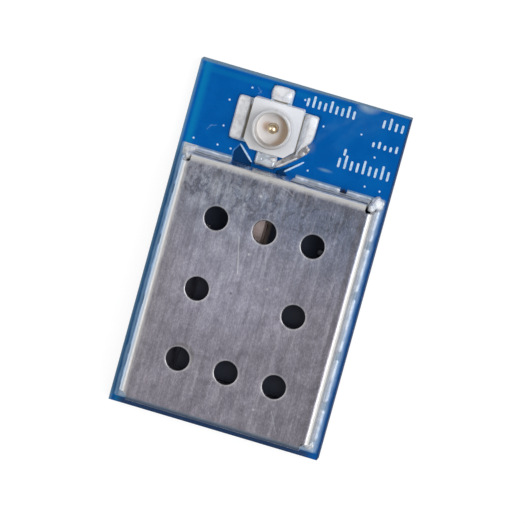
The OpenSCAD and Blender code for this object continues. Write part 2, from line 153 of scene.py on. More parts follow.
class Nodes:
    """Short ways to add nodes to a shader tree."""

    def __init__(self, tree):
        self.tree = tree

    def put(self, socket, value):
        """Links a socket to a value of the tree, or sets its constant; a colour is given as three numbers."""
        if isinstance(value, Value):
            self.tree.links.new(value.socket, socket)
        elif socket.type == "RGBA":
            socket.default_value = (*value, 1.0)
        else:
            socket.default_value = value

    def node(self, kind, inputs, **settings):
        """Adds a node with these settings and inputs."""
        made = self.tree.nodes.new("ShaderNode" + kind)
        for key, value in settings.items():
            setattr(made, key, value)
        for key, value in inputs.items():
            self.put(made.inputs[key], value)
        return made

    def fed(self, kind, inputs, output=0, **settings):
        """One output of a new node."""
        return Value(self, self.node(kind, inputs, **settings).outputs[output])

    def split(self, vector):
        """The X, Y and Z of a vector."""
        return [Value(self, part) for part in self.node("SeparateXYZ", {0: vector}).outputs]

    def math(self, operation, *values):
        return self.fed("Math", dict(enumerate(values)), operation=operation)

    def mix(self, share, one, other):
        """A colour between one and other."""
        return self.fed("Mix", {0: share, 6: one, 7: other}, 2, data_type="RGBA")


class Finish(Nodes):
    """A Principled material painted in layers, whose textures lie in the frame, in millimetres."""

    def __init__(self, name, **constants):
        self.material = bpy.data.materials.new(name)
        self.material.use_nodes = True
        super().__init__(self.material.node_tree)
        self.shader = self.tree.nodes["Principled BSDF"]
        place = self.fed("TexCoord", {}, "Object")
        self.mm = self.fed("VectorMath", {0: place, "Scale": 1 / MM}, operation="SCALE")
        self.x, self.y, self.z = self.split(self.mm)
        for socket, value in constants.items():
            self.set(socket.replace("_", " "), value)

    def set(self, name, value):
        """Sets or links one of the shader's own sockets."""
        self.put(self.shader.inputs[name], value)

    def coat(self, share, one, other):
        """Paints the surface with a mix of two colours."""
        self.tint = self.mix(share, one, other)
        self.set("Base Color", self.tint)

    def lay(self, share, colour):
        """Paints a share of a colour over the coats so far."""
        self.coat(share, self.tint, colour)

    def surface(self, value, smooth, rough, grain, height, strength=0.5, detail=2.0):
        """Sets the roughness between two levels by a value, adds a fine bump, and gives the finish itself."""
        self.set("Roughness", value.step(0.3, 0.7, smooth, rough))
        self.bump(self.noise(grain, detail), height, strength)
        return self

    def bump(self, height, distance, strength=0.5):
        """Bends the surface by a height from 0 to 1 that stands for that many millimetres."""
        inputs = {"Height": height, "Distance": distance * MM, "Strength": strength}
        self.set("Normal", self.fed("Bump", inputs))

    def noise(self, scale, detail=2.0, stretch=(1, 1, 1), distortion=0.0, shift=0.0):
        """Noise with about that many lumps to the millimetre."""
        spread = self.fed("Mapping", {"Vector": self.mm, "Scale": stretch, "Location": (shift, shift, shift)})
        inputs = {"Vector": spread, "Scale": scale, "Detail": detail, "Distortion": distortion}
        return self.fed("TexNoise", inputs)

    def length(self, dx, dy):
        return self.math("SQRT", dx * dx + dy * dy)

    def spot(self, centre, radius, soft, squash=1.0):
        """1 within radius of a place in plan, falling to 0 over soft millimetres; squash flattens it in Y."""
        away = self.length(self.x - centre[0], (self.y - centre[1]) * squash)
        return away.fall(radius, radius + soft)

    def outside(self, low, high):
        """How far a place lies outside a plan box; below 0 inside it."""
        past_x, past_y = (abs(place - (start + end) / 2) - (end - start) / 2
                          for place, start, end in zip((self.x, self.y), low, high))
        return past_x.max(past_y)

    def past_can(self):
        """How far a place lies outside the can's walls in plan; below 0 under the can."""
        return self.outside(CAN_LOW, CAN_HIGH)

    def line(self, start, end, width):
        """1 on a thin line between two places on the board, 0 away from it."""
        run = Vector(end) - Vector(start)
        along = run.normalized()
        dx = self.x - start[0]
        dy = self.y - start[1]
        s = dx * along.x + dy * along.y
        t = dy * along.x - dx * along.y
        past = (s - run.length).max(s * -1.0)
        return abs(t).max(past * 0.25).fall(width * 0.4, width)

    def facing(self):
        """The surface's own direction, as its X, Y and Z shares."""
        return self.split(self.fed("NewGeometry", {}, "Normal"))


# Marks: edges of the wiped film beside the socket with their width and share, and fine hairs on the board
FILM_EDGES = ((((3.21, 9.03), (2.6, 8.3), (2.0, 7.77), (1.48, 7.17), (1.1, 6.6)), 0.3, 0.08),
              (((4.0, 8.36), (3.03, 7.78), (2.66, 7.22)), 0.35, 0.06))
HAIRS = (((-2.3, 8.35), (-2.17, 8.22), (-2.22, 8.14)), ((-4.25, 5.7), (-4.14, 5.87), (-3.95, 5.94)),
         ((-2.48, 5.38), (-2.7, 5.0), (-2.76, 4.62)))
# Scratches on the roof, as start, end, width and share, then its specks, and its smears with their size
ROOF_SCRATCHES = (((-1.07, 1.05), (-0.69, -0.6), 0.04, 0.7), ((2.84, -6.97), (3.3, -7.89), 0.03, 0.35),
                  ((0.42, 4.12), (0.7, 4.06), 0.03, 0.4), ((0.7, 4.06), (0.94, 3.92), 0.03, 0.4),
                  ((0.5, 0.5), (0.6, -0.05), 0.03, 0.4))
ROOF_SPECKS = ((-0.38, 0.42), (-0.57, 3.42), (0.97, -1.02), (1.9, -7.1))
ROOF_SMEARS = (((-1.39, -0.99), 0.16), ((-1.4, 3.5), 0.28), ((-2.9, 3.3), 0.4), ((-2.4, 3.9), 0.2))
# Painted highlights, the whitest places of the frosted solder: centre, radius and fade
GLARES = (((CAN_HIGH.x, CAN_HIGH.y), 0.12, 0.3), ((0.88, 7.5), 0.12, 0.3), ((-0.65, 8.4), 0.1, 0.18))


# The board's finish

def solder_mask():
    """Blue mask: teal along two edges, painted shade beside the can and round the socket's lands, painted
    light and shade under the can, cut glass fibre on the sides with a painted highlight on the north-facing
    ones.
    """
    mat = Finish("solder_mask", Specular_IOR_Level=0.06)
    cloud = mat.noise(0.9, 3.0)
    mat.coat(cloud.rise(0.35, 0.7), (0.0001, 0.099, 0.385), (0.0003, 0.116, 0.417))
    from_x = BOARD_HIGH.x - abs(mat.x)
    from_y = BOARD_HIGH.y - abs(mat.y)
    board_bands(mat, from_x, from_y)
    board_haze(mat)
    paint_socket_shadow(mat)
    board_margins(mat)
    board_rims(mat, from_x, from_y)
    # A painted shade on the board at the foot gap in the can's north wall.
    gap_shade = mat.spot((CAN_MID.x + END_GAP, CAN_HIGH.y), 0.06, 0.2) * mat.z.rise(TOP - 0.1, TOP - 0.05)
    mat.lay(gap_shade, (0.02, 0.024, 0.045))
    on_top = mat.z.rise(TOP / 2, TOP - 0.1)
    mat.lay(mat.z.fall(TOP - 0.02, TOP - 0.008) * on_top, (0.003, 0.04, 0.14))
    # Under the can: painted shade, darker to the north, and painted light beside the chip and the main
    # crystal.
    under = mat.past_can().fall(-SHEET, 0.0)
    under_can_light_and_shade = mat.mix(mat.y.rise(-0.4, 0.6), (0.13, 0.13, 0.17), (0.06, 0.072, 0.11))
    under_can_light_and_shade = mat.mix(mat.outside(CHIP_LOW, CHIP_HIGH).fall(0.1, 0.4), under_can_light_and_shade, (0.55, 0.55, 0.66))
    under_can_light_and_shade = mat.mix(mat.outside(LID_LOW, LID_HIGH).fall(0.1, 0.36), under_can_light_and_shade, (0.55, 0.42, 0.38))
    mat.lay(under * on_top, under_can_light_and_shade)
    _, facing_y, facing_z = mat.facing()
    fibre = mat.noise(14.0, 3.0, (0.2, 0.2, 1.0))
    # The north-facing sides are painted paler, a painted highlight; the glass fibre is their own.
    sawn = mat.mix(facing_y.rise(0.4, 0.9), (0.01, 0.045, 0.14), (0.13, 0.24, 0.36))
    sawn = mat.mix(fibre.rise(0.45, 0.75, 0.22), sawn, (0.2, 0.24, 0.28))
    side = abs(facing_z).fall(0.2, 0.5)
    mat.lay(side, sawn)
    mat.set("Roughness", cloud.step(0.3, 0.7, 0.22, 0.34) + side * 0.4)
    mat.bump(mat.noise(6.0), 0.004)
    return mat


def board_bands(mat, from_x, from_y):
    """Teal bands where the copper stops short of the west and north edge."""
    mat.lay(from_x.band(0.2, 0.38, 0.42, 0.8) * mat.x.fall(-3.5, -2.5), (0.002, 0.185, 0.45))
    mat.lay(from_y.band(0.18, 0.3, 0.42, 0.6) * mat.x.step(-2.0, 5.0, 0.5, 0.05), (0.002, 0.17, 0.42))


def board_rims(mat, from_x, from_y):
    """The mask's outer rim: pale along the west and north edge, dark along the east one."""
    west = from_x.fall(0.02, 0.2, 0.9) * mat.x.fall(-4.0, 0.0)
    north = from_y.fall(0.0, 0.1, 0.8) * mat.y.rise(0.0, 4.0) * mat.x.fall(-4.0, 4.5)
    mat.lay(west.max(north), (0.13, 0.27, 0.41))
    mat.lay(from_x.fall(0.0, 0.1) * mat.x.rise(3.5, 5.3), (0.005, 0.04, 0.16))


def board_haze(mat):
    """A wiped film with faint edges by the socket, a smear near the can, flux by the solder, fine hairs."""
    patchy = mat.noise(1.6, 4.0, shift=3.0)
    mat.lay(mat.spot((3.4, 8.5), 0.2, 1.2) * patchy.step(0.3, 0.65, 0.05, 0.25), (0.03, 0.17, 0.42))
    for edge, width, share in FILM_EDGES:
        for start, end in zip(edge, edge[1:]):
            shown = mat.line(start, end, width) * patchy.step(0.3, 0.65, 0.2 * share, share)
            mat.lay(shown, (0.07, 0.24, 0.47))
    mat.lay(mat.spot((3.3, 9.0), 0.15, 0.6, squash=1.8) * patchy.step(0.3, 0.6, 0.5, 0.85), (0.28, 0.4, 0.52))
    mat.lay(mat.spot((0.95, 6.2), 0.04, 0.36) * patchy.step(0.3, 0.6, 0.25, 0.5), (0.2, 0.27, 0.36))
    mat.lay(mat.spot((2.0, 5.31), 0.05, 0.45, squash=4.0) * 0.6, (0.18, 0.36, 0.52))
    for hair in HAIRS:
        for start, end in zip(hair, hair[1:]):
            mat.lay(mat.line(start, end, 0.03) * 0.3, (0.2, 0.42, 0.68))


def paint_socket_shadow(mat):
    """A painted shadow: a dark edge of the mask round the socket's lands."""
    side = mat.outside((PADS_LOW.x, SIDE_LOW), (PADS_HIGH.x, SIDE_HIGH))
    end = mat.outside((END_LOW, PADS_LOW.y), (END_HIGH, PADS_HIGH.y))
    bare = mat.spot((PADS_HIGH.x, SIDE_LOW), 0.9, 0.3)
    mat.lay(side.min(end).band(-0.03, -0.01, 0.03, 0.14) * bare.fall(0.0, 1.0, 0.4), (0.001, 0.03, 0.11))


def board_margins(mat):
    """The strips beside the can: painted shade, greyer in the east and navy at the plain end; pale along the
    solder.
    """
    beside = (mat.y.fall(LAND_HIGH.y - 0.05, LAND_HIGH.y + 0.05)
              * mat.y.rise(LAND_LOW.y - 0.02, LAND_LOW.y + 0.1))
    east = mat.x.rise(-1.0, 1.0)
    past_land = abs(mat.x) - LAND_HIGH.x
    # Painted shade in the strips beside the can.
    strip = past_land.rise(-0.1, 0.0) * beside * mat.x.step(-1.0, 1.0, 0.8, 0.5)
    mat.lay(strip, mat.mix(east, (0.014, 0.095, 0.25), (0.032, 0.1, 0.235)))
    # Painted shade at the can's plain end.
    plain_end = mat.y.fall(LAND_LOW.y - 0.1, LAND_LOW.y + 0.1)
    mat.lay(plain_end * past_land.step(-0.5, 0.1, 0.9, 0.2), (0.03, 0.056, 0.12))
    from_land = past_land + (mat.noise(1.3, 3.0, shift=7.0) - 0.5) * 0.16
    mat.lay(from_land.band(-0.1, -0.04, 0.02, 0.24) * beside * east * 0.8, (0.36, 0.52, 0.74))
    mat.lay(from_land.band(-0.1, -0.04, 0.02, 0.16) * beside * (1.0 - east) * 0.8, (0.28, 0.48, 0.72))


# The can's finish

def can_sheet():
    """Tinned sheet: streaks along its length, mottled at one end, scratches and specks, with painted
    reflection and shade on the roof, round the vents, on the folds and on the walls.
    """
    mat = Finish("can_sheet")
    lines = mat.noise(6.0, 5.0, (1.0, 0.06, 1.0))
    grain = mat.noise(26.0, 3.0, (1.0, 0.35, 1.0), shift=5.0)
    blotch = mat.noise(1.5, 6.0, (1.0, 0.8, 1.0), 0.8)
    paint_roof(mat, blotch)
    mat.lay(lines.fall(0.38, 0.52, 0.34), (0.27, 0.255, 0.29))
    mat.lay(lines.rise(0.52, 0.68, 0.27), (0.8, 0.79, 0.84))
    mat.lay(grain.fall(0.35, 0.65, 0.35), (0.2, 0.2, 0.22))
    mat.lay(grain.rise(0.5, 0.75, 0.35), (0.76, 0.75, 0.79))
    mat.lay(roof_marks(mat), (0.93, 0.93, 0.95))
    paint_vent_rims(mat)
    # Painted highlights on the west and north fold.
    highlit_west = mat.x.fall(CAN_LOW.x + FOLD, CAN_LOW.x + FOLD + 0.15, 0.8)
    highlit_north = mat.y.rise(CAN_HIGH.y - FOLD - 0.12, CAN_HIGH.y - FOLD + 0.06, 0.6)
    mat.lay(highlit_west.max(highlit_north), (0.8, 0.78, 0.76))
    past_roof = mat.past_can().rise(-FOLD - 0.04, -FOLD)
    upright = mat.z.fall(ROOF - FOLD, ROOF - 0.6 * FOLD) * past_roof
    folded, fold, dull_fold = fold_tint(mat, past_roof)
    wall, dull_wall = wall_tint(mat, upright)
    dulled = dull_wall.max(dull_fold * (1.0 - upright))
    mat.lay(folded, mat.mix(upright, fold, wall))
    mat.set("Metallic", dulled.step(0.0, 1.0, 1.0, 0.1))
    mat.set("Specular IOR Level", dulled.step(0.0, 1.0, 0.5, 0.04))
    mat.set("Roughness", blotch.step(0.3, 0.7, 0.3, 0.4) + grain * 0.1 - upright * 0.15)
    mat.bump(lines * 0.5 + grain * 0.5, 0.004)
    return mat


def wall_tint(mat, upright):
    """The walls' tint and dullness: metal in the west and south; in the north and east dulled and darker
    upwards as painted shade, the north also with two dark bands of painted shade and paler low down where
    solder wets it.
    """
    north = mat.y.rise(CAN_HIGH.y - FOLD, CAN_HIGH.y - 0.1)
    east = mat.x.rise(CAN_HIGH.x - FOLD, CAN_HIGH.x - 0.1)
    up = mat.z.rise(TOP + 0.2, ROOF - FOLD)
    ragged = (mat.noise(2.2, 3.0, (1.0, 0.0, 0.0), shift=2.0) - 0.5) * 0.7
    below = ROOF - FOLD - mat.z + ragged
    patchy = mat.noise(1.1, 3.0, (1.0, 0.0, 0.3), shift=5.0)
    upper = below.band(-0.1, 0.06, 0.22, 0.5) * patchy.step(0.35, 0.6, 0.45, 0.95)
    lower = below.band(0.55, 0.72, 0.82, 1.0) * patchy.step(0.4, 0.55, 0.85, 0.1)
    # North wall: paler low down where solder wets it, darker higher up and in two bands as painted shade.
    north_wall_wet_and_shade = mat.mix(up, (0.66, 0.665, 0.66), (0.42, 0.42, 0.41))
    north_wall_wet_and_shade = mat.mix(upper.max(lower), north_wall_wet_and_shade, (0.06, 0.062, 0.045))
    # East wall: painted shade, darker upwards.
    east_wall_shade = mat.mix(up, (0.48, 0.49, 0.51), (0.17, 0.17, 0.18))
    feed = abs(mat.x - SOCKET.x).fall(FEED_BREAK / 2 - 0.1, FEED_BREAK / 2) * north
    dulled = upright * north.max(east * 0.75) * (1.0 - feed)
    return mat.mix(dulled, (0.8, 0.79, 0.77), mat.mix(north, east_wall_shade, north_wall_wet_and_shade)), dulled


def fold_tint(mat, past_roof):
    """Where the sheet bends down, its tint and dullness there: a cream painted reflection, bluer where it
    faces west, painted shade where it turns steeply east, and dark in the south as painted shade.
    """
    facing_x, _, facing_z = mat.facing()
    bent = mat.z.fall(ROOF - 0.03, ROOF - 0.006) * past_roof
    south = mat.y.fall(CAN_LOW.y + FOLD - 0.08, CAN_LOW.y + FOLD - 0.01)
    west = facing_x.fall(-0.75, -0.15) * mat.x.fall(-4.6, -4.4)
    # Painted reflection on the folds: cream, bluer where they face west.
    fold = mat.mix(west, (0.74, 0.735, 0.725), (0.52, 0.62, 0.73))
    # Painted shade where a fold turns steeply east.
    fold = mat.mix(facing_x.rise(0.78, 0.95, 0.9), fold, (0.2, 0.205, 0.22))
    # Painted shade along the south fold, navy where it turns steep.
    dark = mat.mix(facing_z.rise(0.7, 0.97), (0.035, 0.068, 0.135), (0.45, 0.52, 0.62))
    return bent.max(south), mat.mix(south, fold, dark), south * facing_z.fall(0.5, 0.8)


def paint_roof(mat, blotch):
    """The roof's slow changes: painted reflection and shade, bluer and darker at the socket's end and at its
    north-east and south-east corners, palest in the middle and warm along the west; also mottled and smeared,
    with a stain and a speck.
    """
    # Painted reflection and shade: warmer in the south, bluer and darker towards the socket's end.
    mat.coat(mat.y.rise(-2.5, 3.5), (0.475, 0.435, 0.51), (0.325, 0.375, 0.52))
    # Painted reflection, palest in the middle.
    mat.lay(mat.spot((-0.9, -1.2), 0.2, 4.6) * 0.8, (0.66, 0.645, 0.785))
    # Painted reflection, warmer along the west edge.
    mat.lay(mat.x.fall(-4.6, -2.5, 0.35), (0.68, 0.62, 0.67))
    north = mat.y.rise(1.0, 3.2)
    mottle = mat.noise(2.6, 6.0, (1.0, 0.8, 1.0), 1.3, shift=9.0)
    mat.lay(mottle.rise(0.5, 0.58, 0.9) * north * mat.spot((-2.6, 3.2), 1.0, 3.4), (0.6, 0.65, 0.74))
    mat.lay(mottle.fall(0.41, 0.49, 0.9) * north, (0.19, 0.21, 0.27))
    mat.lay(blotch.rise(0.5, 0.66) * mat.spot((-2.6, 2.8), 1.0, 3.4) * 0.5, (0.62, 0.65, 0.75))
    for place, size in ROOF_SMEARS:
        mat.lay(mat.spot(place, 0.3 * size, size, squash=0.6) * 0.6, (0.72, 0.76, 0.84))
    # Painted shade at the north-east corner.
    mat.lay(mat.spot((3.2, 4.2), 0.4, 2.6) * 0.4, (0.18, 0.21, 0.29))
    mat.lay(roof_edge_shade(mat), (0.2, 0.19, 0.21))
    mat.lay(mat.spot((-2.33, -5.5), 0.6, 0.14) * 0.5, (0.27, 0.26, 0.22))
    mat.lay(mat.spot((-0.73, -1.74), 0.025, 0.06) * 0.7, (0.1, 0.1, 0.11))
    # Painted shade at the south-east corner.
    mat.lay(mat.spot((4.6, -7.6), 0.3, 3.4) * 0.35, (0.24, 0.22, 0.25))


def roof_edge_shade(mat):
    """How far painted shade darkens the roof in a band inside its east, west and north fold."""
    low, high = CAN_LOW + Vector((FOLD, FOLD, 0)), CAN_HIGH - Vector((FOLD, FOLD, 0))
    east = mat.x.band(high.x - 0.3, high.x - 0.2, high.x - 0.02, high.x) * 0.5
    west = mat.x.band(low.x, low.x + 0.2, low.x + 0.35, low.x + 0.6) * 0.3
    north = mat.y.band(high.y - 0.8, high.y - 0.2, high.y - 0.1, high.y) * 0.3
    return east.max(west).max(north)


def paint_vent_rims(mat):
    """A painted highlight in pale rings round the vents, and painted shade on their rolled edges."""
    away = []
    for place, middle, pitch in zip((mat.x, mat.y), CAN_MID, VENT_PITCH):
        far = place - middle
        row = mat.math("ROUND", far / pitch).max(-1.0).min(1.0)
        away.append(far - row * pitch)
    radius = mat.length(*away)
    punched = 1.0 - mat.spot(CAN_MID, 1.0, 0.1)
    # Painted highlight round each vent.
    mat.lay(radius.fall(VENT_R + 0.05, VENT_R + 0.15, 0.42) * punched, (0.82, 0.81, 0.8))
    # Painted shade on each vent's rolled edge.
    mat.lay(radius.fall(VENT_R + 0.01, VENT_R + 0.045, 0.6) * punched, (0.16, 0.16, 0.17))


def roof_marks(mat):
    """How far scratches and bright specks cover the roof."""
    marks = [mat.spot(speck, 0.03, 0.06) * 0.8 for speck in ROOF_SPECKS]
    marks += [mat.line(start, end, width) * share for start, end, width, share in ROOF_SCRATCHES]
    cover = marks[0]
    for mark in marks[1:]:
        cover = cover.max(mark)
    return cover


# The other finishes

def bright_solder():
    """Reflowed solder: bright, with frosted patches, greyer where it thins out beside the socket, and dark
    under the can as painted shade.
    """
    mat = Finish("solder")
    frost = mat.noise(2.2, distortion=0.3)
    mat.coat(frost, (0.58, 0.67, 0.78), (0.84, 0.86, 0.89))
    mat.lay(mat.spot((0.9, 5.9), 0.3, 0.5) * 0.8, (0.28, 0.34, 0.43))
    # Painted shade on solder under the can.
    mat.lay(mat.past_can().fall(-FOLD - 0.1, -FOLD, 0.8), (0.1, 0.1, 0.11))
    mat.set("Metallic", frost.step(0.35, 0.65, 0.7, 0.35))
    mat.set("Roughness", frost.step(0.35, 0.7, 0.25, 0.45))
    mat.bump(mat.noise(5.0), 0.005, 0.4)
    return mat


def run_solder():
    """Solder along the can: grey at the wall, whiter further out, blue where thin and paler in the west as
    painted light, with white painted glints and dark patches in the north.
    """
    mat = Finish("run_solder", Metallic=0.3)
    cloud = mat.noise(2.4, 3.0)
    past = mat.past_can()
    mat.coat(cloud.rise(0.35, 0.65), (0.54, 0.62, 0.73), (0.8, 0.86, 0.94))
    mat.lay(past.fall(0.0, 0.07, 0.45), (0.36, 0.37, 0.38))
    # Blue where thin, paler in the west as painted light against the can's shadow.
    thin_lit_west = mat.mix(mat.x.rise(-1.0, 1.0), (0.27, 0.46, 0.74), (0.13, 0.27, 0.5))
    mat.lay(past.rise(0.06, 0.22), thin_lit_west)
    north = mat.y.rise(CAN_HIGH.y - 0.02, CAN_HIGH.y)
    patches = mat.noise(1.7, 3.0, (1.0, 0.0, 0.0), shift=1.0)
    # White painted glints along the north run.
    mat.lay(north * patches.rise(0.5, 0.6, 0.9), (0.95, 0.97, 1.0))
    mat.lay(north * patches.fall(0.36, 0.44, 0.6), (0.3, 0.33, 0.34))
    return mat.surface(cloud, 0.32, 0.48, 6.0, 0.006)


def tinned_land():
    """Tinned copper: satin, uneven, bluer where the mask laps over the can's land, cream at one corner."""
    mat = Finish("tinned_land")
    uneven = mat.noise(2.6, 4.0)
    mat.coat(uneven, (0.4, 0.56, 0.74), (0.58, 0.69, 0.81))
    at_can = mat.y.fall(LAND_HIGH.y, LAND_HIGH.y + 0.02)
    corner = mat.spot((CAN_LOW.x, CAN_HIGH.y), 0.3, 0.3)
    past = mat.past_can() + mat.y.rise(CAN_HIGH.y - 0.05, CAN_HIGH.y, 0.05)
    mat.lay(corner, (0.78, 0.79, 0.78))
    mat.lay(past.rise(0.06, 0.24, 0.8) * at_can * (1.0 - corner * 0.8), (0.07, 0.21, 0.43))
    mat.set("Metallic", uneven.step(0.3, 0.7, 0.5, 0.3))
    return mat.surface(uneven, 0.32, 0.5, 9.0, 0.005)


def frosted_solder():
    """Solder that set dull and even, with white painted glares, and greyer on the shelf beside the socket's
    base.
    """
    mat = Finish("frosted_solder", Metallic=0.25)
    cloud = mat.noise(3.4, 4.0, distortion=0.4)
    mat.coat(cloud.rise(0.35, 0.65), (0.65, 0.66, 0.68), (0.83, 0.84, 0.86))
    past_base = (mat.x - BASE_HIGH.x).band(0.0, 0.01, 0.14, 0.26)
    mat.lay(past_base * mat.y.rise(SOCKET.y - 1.2, SOCKET.y - 0.8, 0.7), (0.38, 0.41, 0.46))
    for glare in GLARES:
        mat.lay(mat.spot(*glare), (0.92, 0.95, 0.99))
    streaks = mat.noise(7.0, 4.0, (1.0, 0.4, 1.0), 0.6, shift=4.0)
    mat.lay(streaks.fall(0.42, 0.56, 0.7) * mat.spot(CAN_HIGH, 0.4, 0.4), (0.34, 0.42, 0.52))
    return mat.surface(cloud, 0.38, 0.55, 7.0, 0.01, detail=3.0)


def white_resin():
    """Moulded resin: satin, paler to the north-east as painted light, with a painted shadow round the ring;
    inside it painted light, a brown crescent that is partly stain and partly painted shade, and a painted
    reflection of the pin.
    """
    mat = Finish("white_resin", Specular_IOR_Level=0.4)
    flow = mat.noise(1.3, 4.0, (1.0, 0.5, 1.0), 0.8)
    mat.coat(flow, (0.66, 0.66, 0.67), (0.74, 0.745, 0.755))
    across = mat.x + mat.y - (SOCKET.x + SOCKET.y)
    # Painted light, paler to the north-east.
    mat.lay(across.rise(-1.8, 1.6), (0.81, 0.83, 0.87))
    # A painted shadow round the ring.
    collar_shadow = mat.spot(SOCKET, RING_R + 0.05, 0.05) - mat.spot(SOCKET, RING_R - 0.06, 0.05)
    mat.lay(collar_shadow * 0.2, (0.42, 0.41, 0.42))
    in_ring = mat.spot(SOCKET, BORE_R, 0.02)
    # Painted light on the floor inside the ring.
    mat.lay(in_ring, (0.92, 0.89, 0.88))
    # Brown towards the east inside the ring, partly stain and partly painted shade.
    free_of_stain_and_shade = mat.spot((SOCKET.x - 0.6, SOCKET.y - 0.08), 0.84, 0.3)
    mat.lay(in_ring * (1.0 - free_of_stain_and_shade), (0.6, 0.46, 0.34))
    # A painted reflection of the gold pin, brown at its west side.
    mat.lay(mat.spot((SOCKET.x - 0.34, SOCKET.y), 0.1, 0.26) * 0.75, (0.74, 0.5, 0.34))
    return mat.surface(flow, 0.4, 0.55, 18.0, 0.003, 0.6)


def silver_plate():
    """Satin silver plating, warm where it has tarnished, and brown down at the legs, partly flux and partly
    painted shade.
    """
    mat = Finish("silver_plate", Metallic=0.5)
    tarnish = mat.noise(2.2, 4.0)
    mat.coat(tarnish.rise(0.4, 0.7), (0.7, 0.705, 0.715), (0.6, 0.59, 0.58))
    mat.lay(mat.y.fall(SOCKET.y - 1.0, SOCKET.y - 0.4, 0.6), (0.4, 0.36, 0.34))
    # Brown down at the legs: partly flux, partly painted shade in the slots.
    mat.lay(mat.z.fall(TOP + LEG_T + 0.02, TOP + LEG_T + 0.1), (0.25, 0.225, 0.175))
    return mat.surface(tarnish, 0.42, 0.55, 16.0, 0.003)


def lid_metal():
    """A crystal's satin lid, brushed across, in shade towards the main one's east edge."""
    mat = Finish("crystal_lid", Metallic=0.7)
    lines = mat.noise(16.0, 3.0, (0.1, 1.0, 1.0))
    mat.coat(lines, (0.88, 0.68, 0.62), (1.0, 0.84, 0.79))
    mat.lay(mat.x.rise(LID_HIGH.x - 0.15, LID_HIGH.x + 0.15, 0.6), (0.1, 0.08, 0.08))
    mat.set("Roughness", lines.step(0.3, 0.7, 0.3, 0.45))
    mat.bump(lines, 0.004)
    return mat


def plain(name, cloud, colours, rough, bump, contrast=None, **constants):
    """A finish that wavers between two colours; cloud, rough and bump are as in noise and surface."""
    mat = Finish(name, **constants)
    value = mat.noise(*cloud)
    mat.coat(value.rise(*contrast) if contrast else value, *colours)
    return mat.surface(value, *rough, *bump)


def moulded(name, dark, pale, smooth, rough):
    """Grainy epoxy or fired ceramic."""
    return plain(name, (5.0, 4.0), (dark, pale), (smooth, rough), (20.0, 0.006, 0.6), Specular_IOR_Level=0.35)


def crystal_ceramic():
    """A crystal's dark ceramic base, with a tan seal ring round the main one's lid."""
    mat = moulded("dark_ceramic", (0.08, 0.068, 0.064), (0.14, 0.12, 0.112), 0.47, 0.63)
    ring = mat.outside(LID_LOW, LID_HIGH).fall(0.09, 0.1) * mat.z.rise(LID_LOW.z - 0.04, LID_LOW.z - 0.02)
    mat.lay(ring, (0.42, 0.32, 0.29))
    return mat


FINISHES = {
    "solder_mask": solder_mask(),
    "can_sheet": can_sheet(),
    "solder": bright_solder(),
    "tinned_land": tinned_land(),
    "white_resin": white_resin(),
    "silver_plate": silver_plate(),
    "gold_plate": plain("gold_plate", (4.0, 4.0), ((0.84, 0.66, 0.42), (0.94, 0.79, 0.56)), (0.22, 0.34),
                        (20.0, 0.002), Metallic=1.0),
    # The chip's epoxy is tinted bluish as painted light from the vents.
    "chip_epoxy": moulded("chip_epoxy", (0.009, 0.011, 0.022), (0.024, 0.029, 0.054), 0.42, 0.58),
    "dark_ceramic": crystal_ceramic(),
    "crystal_lid": lid_metal(),
    "tan_ceramic": moulded("tan_ceramic", (0.19, 0.11, 0.06), (0.34, 0.21, 0.12), 0.37, 0.53),
    "white_ceramic": moulded("white_ceramic", (0.6, 0.62, 0.63), (0.8, 0.81, 0.8), 0.32, 0.48),
}
FROSTED = frosted_solder()
RUNS = run_solder()
# Printed ink, solder under a film of flux, and mask that swells thinly over copper, painted pale as a
# highlight
INK = plain("silkscreen_ink", (7.0, 3.0), ((0.42, 0.6, 0.8), (0.62, 0.76, 0.9)), (0.45, 0.6), (16.0, 0.004),
            contrast=(0.3, 0.7), Specular_IOR_Level=0.3)
FLUX = plain("brown_flux", (3.0, 4.0), ((0.33, 0.32, 0.33), (0.57, 0.56, 0.58)), (0.25, 0.45), (8.0, 0.006),
             contrast=(0.35, 0.65), Metallic=0.5)
GLINT_MASK = plain("glint_mask", (6.0, 3.0), ((0.4, 0.62, 0.9), (0.6, 0.78, 0.97)), (0.2, 0.35), (14.0, 0.003),
                  Specular_IOR_Level=0.6)


# Mesh helpers

MERGE = 1e-5
EDGE_ANGLE = 30


def loose(name, bm):
    """A plain object from a mesh in millimetres."""
    bmesh.ops.recalc_face_normals(bm, faces=bm.faces)
    mesh = bpy.data.meshes.new(name)
    bm.to_mesh(mesh)
    bm.free()
    mesh.transform(Matrix.Scale(MM, 4))
    made = bpy.data.objects.new(name, mesh)
    bpy.context.scene.collection.objects.link(made)
    return made


def weigh_normals(target):
    target.modifiers.new("weighted_normals", "WEIGHTED_NORMAL").keep_sharp = True


def piece(name, bm, slot, replaced=(), finish=None, sharp=35.0):
    """Makes a piece of the part from a mesh in millimetres."""
    bmesh.ops.remove_doubles(bm, verts=bm.verts, dist=MERGE)
    made = loose(name, bm)
    made.data.shade_smooth()
    made.data.set_sharp_from_angle(angle=math.radians(sharp))
    made.data.materials.append((finish or FINISHES[slot]).material)
    weigh_normals(made)
    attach(made, BODY)
    if replaced:
        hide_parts(*replaced)
    return made


def round_edges(target, width, segments):
    """Rounds a piece's sharp edges."""
    bevel = target.modifiers.new("rounded", "BEVEL")
    bevel.limit_method = "ANGLE"
    bevel.angle_limit = math.radians(EDGE_ANGLE)
    bevel.width = width * MM
    bevel.segments = segments
    weigh_normals(target)


def cut(target, cutter):
    """Takes one object's solid out of another's and removes the cutter."""
    knife = target.modifiers.new("cut", "BOOLEAN")
    knife.operation = "DIFFERENCE"
    knife.solver = "EXACT"
    knife.object = cutter
    with bpy.context.temp_override(object=target, active_object=target):
        bpy.ops.object.modifier_apply(modifier=knife.name)
    bpy.data.objects.remove(cutter)


